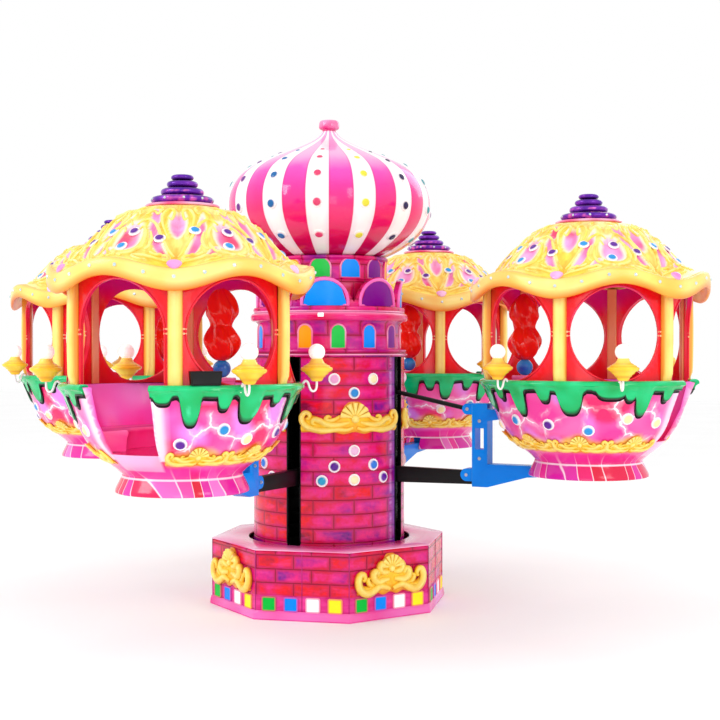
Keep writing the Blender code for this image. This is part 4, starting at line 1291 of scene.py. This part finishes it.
# a rolled lip round each opening
lips = []
lipRadius = arcade["outer"] + 0.001
for bay in range(6):
    path = []
    for step in range(48):
        lean = 2 * pi * step / 48
        x = (arcade["half"] + 0.005) * cos(lean)
        z = arcade["ovalZ"] + (arcade["tall"] + 0.005) * sin(lean)
        if bay or z >= arcade["ovalZ"]:
            path.append(polar(lipRadius, 60 * bay + degrees(asin(x / lipRadius)), z))
    if bay == 0:
        path.sort(key=lambda p: p.x)
        for z in (2.13, 1.962):
            path = [polar(lipRadius, -25.2, z)] + path + [polar(lipRadius, 25.2, z)]
    lips.append(tubeAlong("ovalLips", path, 0.0085, None, 2, bay != 0))
lip = painted(joined("ovalLips", lips), lambda p: mixed("#F41C30", "#F04078", (p.z - 2.45) * 3 + cloud(p, 4, 0)))
onCabins(lip, arcadeFinish, "red_moulding")


column = {"half": 0.0485, "back": 0.7985, "top": 2.700, "flute": 0.0022}


def postRule(u, v):
    # a flat-faced post with round edges, a little bowed
    z = arcade["low"] + 0.001 + (column["top"] - arcade["low"]) * v
    neck = min(max((z - 1.962) / 0.05, 0), 1)
    deep = 0.024 + (0.020 + 0.008 * sin(pi * v)) * neck
    if u <= 2 / 3:
        x = -column["half"] * cos(pi * u * 1.5)
        y = column["back"] + 0.004 + deep * sin(pi * u * 1.5) ** 0.42
    else:
        x = column["half"] - 2 * column["half"] * (u - 2 / 3) * 3
        y = column["back"]
    flute = column["flute"] * cos(u * 1.5 * pi * 6) if 0.06 < u < 0.60 else 0
    return Vector((x, -(y + flute), z))


def postPaintWithLightAndShade(point):
    off = abs(azimuthOf(point) % 60 - 30)
    # pale cream down the middle of the face is a painted highlight, orange at its sides painted shade
    tone = mixed("#FFEA88", "#FFD66C", off / 2.8 + cloud(point, 7, 0) * 0.5)
    tone = mixed(tone, "#F09A30", (off - 2.4) / 1.2)
    # orange at the top is painted shade under the roof; orange towards the foot as well
    tone = mixed(tone, "#F2982C", (point.z - 2.56) * 6)
    return mixed(tone, "#F6B040", (2.03 - point.z) * 5)


post = tidied(gridPiece("cabinPosts", 36, 22, postRule, False), 50, True)
onCabins(painted(repeated(post, "cabinPosts", postTurns), postPaintWithLightAndShade), postFinish, "yellow_moulding")

# the posts' flat backs inside the cabin
back = eased(boxPiece("postBacks", (0.078, 0.015, 0.764), (0, -0.7625, 2.322)), 0.006)
backs = tidied(repeated(back, "postBacks", postTurns))
applied(backs, "SUBSURF", subdivision_type="SIMPLE", levels=2, render_levels=2)
# darker red-brown low down inside the cabin: painted shade
painted(backs, lambda p: mixed(mixed("#F49A5A", "#FCC28A", cloud(p, 6)), "#C83828", (2.10 - p.z) * 3))
onCabins(backs, postFinish, "yellow_moulding")

# cream bands at the narrow waist beside each post
bands = []
for k in range(6):
    for side in (-1, 1):
        for z in (2.292, 2.322):
            path = [polar(arcade["outer"] + 0.002, 30 + 60 * k + side * 4.3 + d, z) for d in (-1.1, 0, 1.1)]
            bands.append(tubeAlong("waistBands", path, 0.0075, None, 1))
band = painted(joined("waistBands", bands), lambda p: mixed("#FFD8B0", "#F8A070", cloud(p, 9)))
onCabins(band, postFinish, "yellow_moulding")
print("carousel: arcades")


# Bench and the turned sweet inside

outline = smoothLine([(0.400, 1.4758), (0.398, 1.520), (0.394, 1.565), (0.386, 1.588), (0.382, 1.606), (0.390, 1.620),
                      (0.410, 1.6255)], 16)
outline += [(0.47, 1.621), (0.54, 1.618), (0.62, 1.620), (0.655, 1.6255), (0.662, 1.6255), (0.655, 1.600),
            (0.600, 1.520), (0.560, 1.4758)]
bench = turned("cupBench", outline, 72, start=45, sweep=270, closed=True, angle=45)
# paler along the seat's top edge: a painted highlight
painted(bench, lambda p: mixed(mixed("#F82888", "#FF50A8", cloud(p, 5)), "#FCA0D4", (p.z - 1.600) * 18))
onCabins(bench, benchFinish, "brick_moulding", "bench")

treat = {"place": 0.530, "ribs": 5, "twist": 1150, "ball": 0.067, "ballZ": 2.046}
sweetLine = smoothLine([(0.0, 2.108), (0.045, 2.110), (0.100, 2.150), (0.140, 2.215), (0.143, 2.270), (0.112, 2.330),
                        (0.088, 2.370), (0.100, 2.412), (0.128, 2.460), (0.124, 2.520), (0.100, 2.580), (0.062, 2.625),
                        (0.024, 2.645), (0.0, 2.650)], 64)


def sweetRule(u, v):
    point = sweetLine[round(v * 63)]
    turn = u * 360
    twist = 0.5 + 0.5 * cos(radians(turn * treat["ribs"] + (point.y - 2.1) * treat["twist"]))
    return polar(max(point.x, 0) * (0.78 + 0.22 * twist), turn, point.y)


sweet = gridPiece("turnedSweet", 75, 63, sweetRule)
# darker red where the surface lies nearer the axis, in the grooves of the twist: painted shade
painted(sweet, lambda p: mixed("#FF2412", "#D8060E", cloud(p, 6) - 0.5 * (hypot(p.x, p.y) / 0.13)))
ball = turned("sweetBall", ballLine(treat["ball"], treat["ballZ"], 14), 32)
painted(ball, lambda p: mixed("#0E5CC8", "#2CA0E8", cloud(p, 14)))
pot = turned("sweetPot", [(0, 1.6268), (0.070, 1.6268), (0.076, 1.632), (0.079, 1.70), (0.088, 1.80), (0.096, 1.90),
                          (0.099, 1.950), (0.105, 1.956), (0.106, 1.972), (0.101, 1.9795), (0.090, 1.978),
                          (0.060, 1.976), (0, 1.976)], 32)
painted(pot, lambda p: mixed("#F03C9C", "#F8A0D0", cloud(p, 10)))
sweetSet = joined("turnedSweet", [sweet, ball, pot])
sweetSet.data.transform(Matrix.Translation((0, treat["place"], 0)))
onCabins(sweetSet, sweetFinish, "red_moulding", "ornament")
print("carousel: benches and sweets")


# Roofs

roof = {"post": 2.562, "bay": 2.668, "bandPost": 0.150, "bandBay": 0.120, "top": 3.190, "rise": 0.490, "rows": 45,
        "curl": 0.0105, "bulb": 0.0135, "bulbOrbit": 0.939}
skin = smoothLine([(0.895, 0), (0.860, 0.002), (0.800, 0.009), (0.748, 0.028), (0.714, 0.068), (0.680, 0.116),
                   (0.618, 0.192), (0.536, 0.284), (0.442, 0.380), (0.352, 0.446), (0.250, 0.490)], 46)
# pink airbrushed patches in each lobe: turn from the lobe's middle, share of the way up, half sizes, slant
cells = [(0.5, 0.53, 6.2, 0.16, 0.0), (-18.0, 0.56, 2.6, 0.20, 8.0), (18.0, 0.56, 2.6, 0.20, -8.0),
         (-30.0, 0.74, 4.6, 0.10, 0.0), (30.0, 0.74, 4.6, 0.10, 0.0), (-10.5, 0.37, 2.8, 0.06, 2.0),
         (12.0, 0.77, 2.8, 0.06, -3.0)]
# raised curls in each lobe, mirrored: turn from the lobe's middle and share of the way up
curls = [
    [(29, 0.30), (24, 0.33), (18, 0.34), (12, 0.32), (8.5, 0.27), (10, 0.22), (14, 0.22), (15, 0.26)],
    [(1, 0.27), (4, 0.29), (7, 0.34), (10, 0.42), (11.5, 0.52), (10.5, 0.62), (7.0, 0.66), (4.5, 0.62)],
    [(29, 0.44), (26, 0.50), (22.5, 0.58), (18, 0.66), (13, 0.72), (7, 0.73), (2, 0.68)],
    [(16, 0.42), (20, 0.40), (25, 0.42), (26, 0.36), (23, 0.345)],
    [(24, 0.63), (19, 0.72), (17, 0.80), (21, 0.87), (26, 0.84), (25, 0.77), (22, 0.77)],
    [(3, 0.78), (8, 0.82), (13, 0.80), (14, 0.87), (9, 0.90)],
    [(13, 0.44), (15, 0.51), (15, 0.58), (13, 0.64)],
    [(4, 0.20), (1.5, 0.24), (4, 0.30)],
]
curlLines = [smoothLine(curl, 30) for curl in curls]


def brimAt(azimuth):
    # the swing from post to bay, the brim's lower edge and the height of its band
    high = 0.5 + 0.5 * cos(radians(azimuth * 6))
    low = roof["post"] + high * (roof["bay"] - roof["post"])
    return high, low, roof["bandPost"] + high * (roof["bandBay"] - roof["bandPost"])


def inLobe(azimuth):
    return (azimuth + 30) % 60 - 30


def cellShare(azimuth, up):
    # below 1 inside a patch
    widen = 1.0 / (1.0 - 0.45 * up)
    best = 9.0
    for middle, level, halfTurn, halfUp, slant in cells:
        lean = (up - level) * slant / halfUp
        share = hypot((inLobe(azimuth) - middle - lean) / (halfTurn * widen), (up - level) / halfUp)
        best = min(best, share)
    return best


nearCurls = {}


def curlNear(azimuth, up):
    # metres, roughly, to the nearest curl; the lobes are alike, so each place is reckoned once
    off = abs(inLobe(azimuth))
    place = (round(off, 1), round(up, 3))
    if place not in nearCurls:
        across = radians(1) * (0.9 - 0.62 * up)
        nearCurls[place] = min(hypot((off - p.x) * across, (up - p.y) * 0.80) for line in curlLines for p in line)
    return nearCurls[place]


def roofRelief(azimuth, up):
    share = cellShare(azimuth, up)
    off = inLobe(azimuth)
    lobe = 0.012 * cos(radians(off * 3)) - 0.014 * exp(-((abs(off) - 30) / 3.0) ** 2)
    ridge = 0.010 * exp(-((share - 1.20) / 0.20) ** 2) - 0.006 * max(1 - share, 0)
    curl = 0.010 * exp(-(curlNear(azimuth, up) / 0.024) ** 2)
    calm = min(up / 0.05, 1) * min((1 - up) / 0.05, 1)
    return (lobe + ridge + curl) * max(calm, 0)


def roofPlace(azimuth, up, lift=0.0):
    # a point on the roof's skin, or proud of it
    high, low, band = brimAt(azimuth)
    step = min(max(up, 0), 1) * roof["rows"]
    first = skin[int(step)]
    point = first + (skin[min(int(step) + 1, roof["rows"])] - first) * (step - int(step))
    push = roofRelief(azimuth, round(up * roof["rows"]) / roof["rows"]) + lift
    z = low + band + (roof["top"] - low - band) * point.y / roof["rise"]
    return polar(point.x + push * 0.60, azimuth, z + push * 0.78 * min(up * 3, 1))


def roofRule(u, v):
    # the ceiling, the rolled brim with its band, then the skin up to the cap
    azimuth = u * 360
    high, low, band = brimAt(azimuth)
    ring = [(0, 3.040), (0.20, 3.020), (0.35, 2.965), (0.56, 2.850), (0.745, 2.740), (0.772, 2.7205),
            (0.860, 2.7205 - 0.03 * (1 - high)), (0.903, low + 0.030), (0.914, low + 0.004), (0.924, low),
            (0.934, low + 0.004), (0.940, low + 0.016), (0.942, low + band * 0.45), (0.938, low + band * 0.80),
            (0.931, low + band * 0.93), (0.920, low + band * 0.99), (0.908, low + band), (0.903, low + band - 0.004),
            (0.899, low + band + 0.002)]
    i = round(v * 66)
    if i < 19:
        return polar(ring[i][0], azimuth, ring[i][1])
    return roofPlace(azimuth, (i - 19) / roof["rows"]) if i < 65 else Vector((0, 0, roof["top"]))


def roofPaintWithShade(point):
    azimuth = azimuthOf(point)
    reach = hypot(point.x, point.y)
    high, low, band = brimAt(azimuth)
    up = max([i / roof["rows"] for i, p in enumerate(skin) if p.x >= reach - 0.010], default=0.0)
    yellow = mixed("#FFE254", "#FFF290", 0.5 + 1.4 * cloud(point, 5, 0))
    if reach > 0.898:
        # the brim: orange low on its roll and along its top crease is painted shade
        tone = mixed(mixed(yellow, "#FFE088", 0.5), "#EC7C1C", (low + 0.062 - point.z) / 0.055)
        tone = mixed(tone, "#FBB440", 0.9 * cloud(point, 4, 0) + 0.20)
        return mixed(tone, "#F2A030", (point.z - low - band + 0.014) / 0.02 * 0.8)
    if point.z < roofPlace(azimuth, up).z - 0.05 or point.z < low + 0.05:
        # the ceiling, turning orange towards the brim: painted shade under the brim
        patchy = cloud(point, 4)
        return mixed(mixed("#F42CB0", "#DC1890", patchy), mixed("#F08C1C", "#D86010", patchy), (reach - 0.775) / 0.03)
    share = cellShare(azimuth, up)
    off = inLobe(azimuth)
    pink = mixed("#F67CBC", "#F6ACE2", 0.5 + 1.6 * cloud(point, 8, 0))
    pink = mixed(pink, "#F03C70", cloud(point, 5, -0.1, (0, 5, 0)) * 3)
    tone = mixed(pink, "#FFEFD4", (share - 0.68) / 0.30)
    tone = mixed(tone, yellow, (share - 0.98) / 0.22)
    if share > 1.1:
        # orange beside the raised curls is painted shade; the amber streaks are pattern
        tone = mixed(tone, "#F2A02C", 0.46 * exp(-((curlNear(azimuth, up) - 0.026) / 0.012) ** 2))
        tone = mixed(tone, "#F4A828", (noise.noise(Vector((off * 0.30, up * 12, 2))) - 0.12) * 1.2)
    # orange down the creases over the posts and along the foot of the skin: painted shade
    tone = mixed(tone, "#F0A028", 0.6 * exp(-((abs(off) - 30) / 1.6) ** 2) * (up < 0.6))
    return mixed(tone, "#F2A42C", 0.62 * exp(-(up / 0.035) ** 2))


roofPiece = painted(gridPiece("cabinRoof", 432, 66, roofRule), roofPaintWithShade)
onCabins(roofPiece, roofFinish, "yellow_moulding", "roof")

# the curls themselves, modelled on one lobe and its mirror
strands = []
for line in curlLines:
    for side in (-1, 1):
        path = [roofPlace(side * p.x, p.y, -0.001) for p in line]
        strands.append(tubeAlong("roofLobe", path, roof["curl"], lambda t: 0.45 + 0.70 * sin(pi * (0.12 + 0.78 * t))))
curlSet = repeated(joined("roofLobe", strands), "roofCurls", bayTurns)
painted(curlSet, lambda p: mixed(mixed("#FFF29C", "#FFE262", cloud(p, 9)), "#F6AC38", cloud(p, 21, 0) * 1.1))
onCabins(curlSet, roofFinish, "yellow_moulding")

# bulb caps round the brim
turns = []
for azimuth in range(6, 360, 12):
    high, low, band = brimAt(azimuth)
    turns.append(seat(azimuth, roof["bulbOrbit"], low + band * 0.62, 6))
bulbs = repeated(raised(discPiece(8, roof["bulb"]), (0, 0.005), (0.003, 0.004), (0.005, 0.005)), "brimBulbs", turns)
alone(bulbs)
bpy.ops.object.shade_smooth_by_angle(angle=radians(30))
onCabins(bulbs, bulbFinish, "pale_moulding")

# gems on the lobes and a pink drop over each post
places = []
for k in range(6):
    for off, up, code in ((2.5, 0.62, "#5A0A94"), (-1.0, 0.45, "#1E94DC"), (19.5, 0.60, "#5A0A94"),
                          (-18.5, 0.66, "#1E94DC")):
        place = roofPlace(60 * k + off, up, 0.002)
        places.append((seat(60 * k + off, hypot(place.x, place.y), place.z, 48), 0.85, code))
onCabins(gemSet("roofGems", places), gemFinish, "pale_moulding")

drop = turned("roofDrops", [(0, -0.010), (0.022, -0.008), (0.038, 0.0), (0.034, 0.010), (0.018, 0.018), (0, 0.021)], 20)
for vert in drop.data.vertices:
    vert.co.x *= 1.25 + 0.5 * vert.co.y / 0.038
turns = [seat(30 + 60 * k, 0.905, roof["post"] + roof["bandPost"] + 0.020, 34) for k in range(6)]
drops = painted(repeated(drop, "roofDrops", turns), lambda p: mixed("#FBC4E8", "#F484CC", cloud(p, 12, 0.4)))
onCabins(drops, deckFinish, "pale_moulding")

# cap: a pink flange and a pile of purple rings
flange = turned("capFlange", [(0, 3.1905), (0.250, 3.1905), (0.262, 3.196), (0.264, 3.204), (0.256, 3.212),
                              (0.225, 3.216), (0, 3.216)], 64)
onCabins(painted(flange, lambda p: mixed("#F9B0D8", hotPink, cloud(p, 8, 0.35))), deckFinish, "pale_moulding")


def ringRow(radius, low, high, inner):
    middle, half = (low + high) / 2, (high - low) / 2
    return [(inner + (radius - inner) * sin(pi * i / 8) ** 0.5 if 0 < i < 8 else inner,
             middle - half * cos(pi * i / 8)) for i in range(9)]


capLine = [(0, 3.217)] + ringRow(0.222, 3.218, 3.272, 0.150) + ringRow(0.152, 3.276, 3.330, 0.100)
capLine += ringRow(0.110, 3.334, 3.384, 0.052) + ringRow(0.080, 3.388, 3.428, 0.034) + [(0, 3.4295)]


def capPaintWithShade(point):
    groove = min(abs(point.z - z) for z in (3.274, 3.332, 3.386))
    # dark purple in the grooves between the rings: painted shade
    tone = mixed("#240638", mixed("#5410A0", "#7C20B4", cloud(point, 12)), groove / 0.018)
    tone = mixed(tone, "#A040D0", cloud(point, 7, 0, (3, 0, 0)) * 1.4)
    return mixed(tone, "#E868C0", cloud(point, 26, -0.02) * 3.0 if hypot(point.x, point.y) > 0.15 else 0)


cap = painted(turned("capRings", capLine, 64, angle=50), capPaintWithShade)
onCabins(cap, capFinish, "purple_moulding", "roof_cap")

# pearl studs on the lowest ring
studs = {"count": 10, "radius": 0.010, "orbit": 0.220, "z": 3.246}
turns = [Matrix.Translation(polar(studs["orbit"], 360 / studs["count"] * k, studs["z"])) for k in range(studs["count"])]
stud = turned("capStuds", ballLine(studs["radius"], 0, 6), 8)
onCabins(repeated(stud, "capStuds", turns), bulbFinish, "pale_moulding")
bpy.data.objects.remove(gemPattern)
print("carousel: roofs")

print("carousel: done")
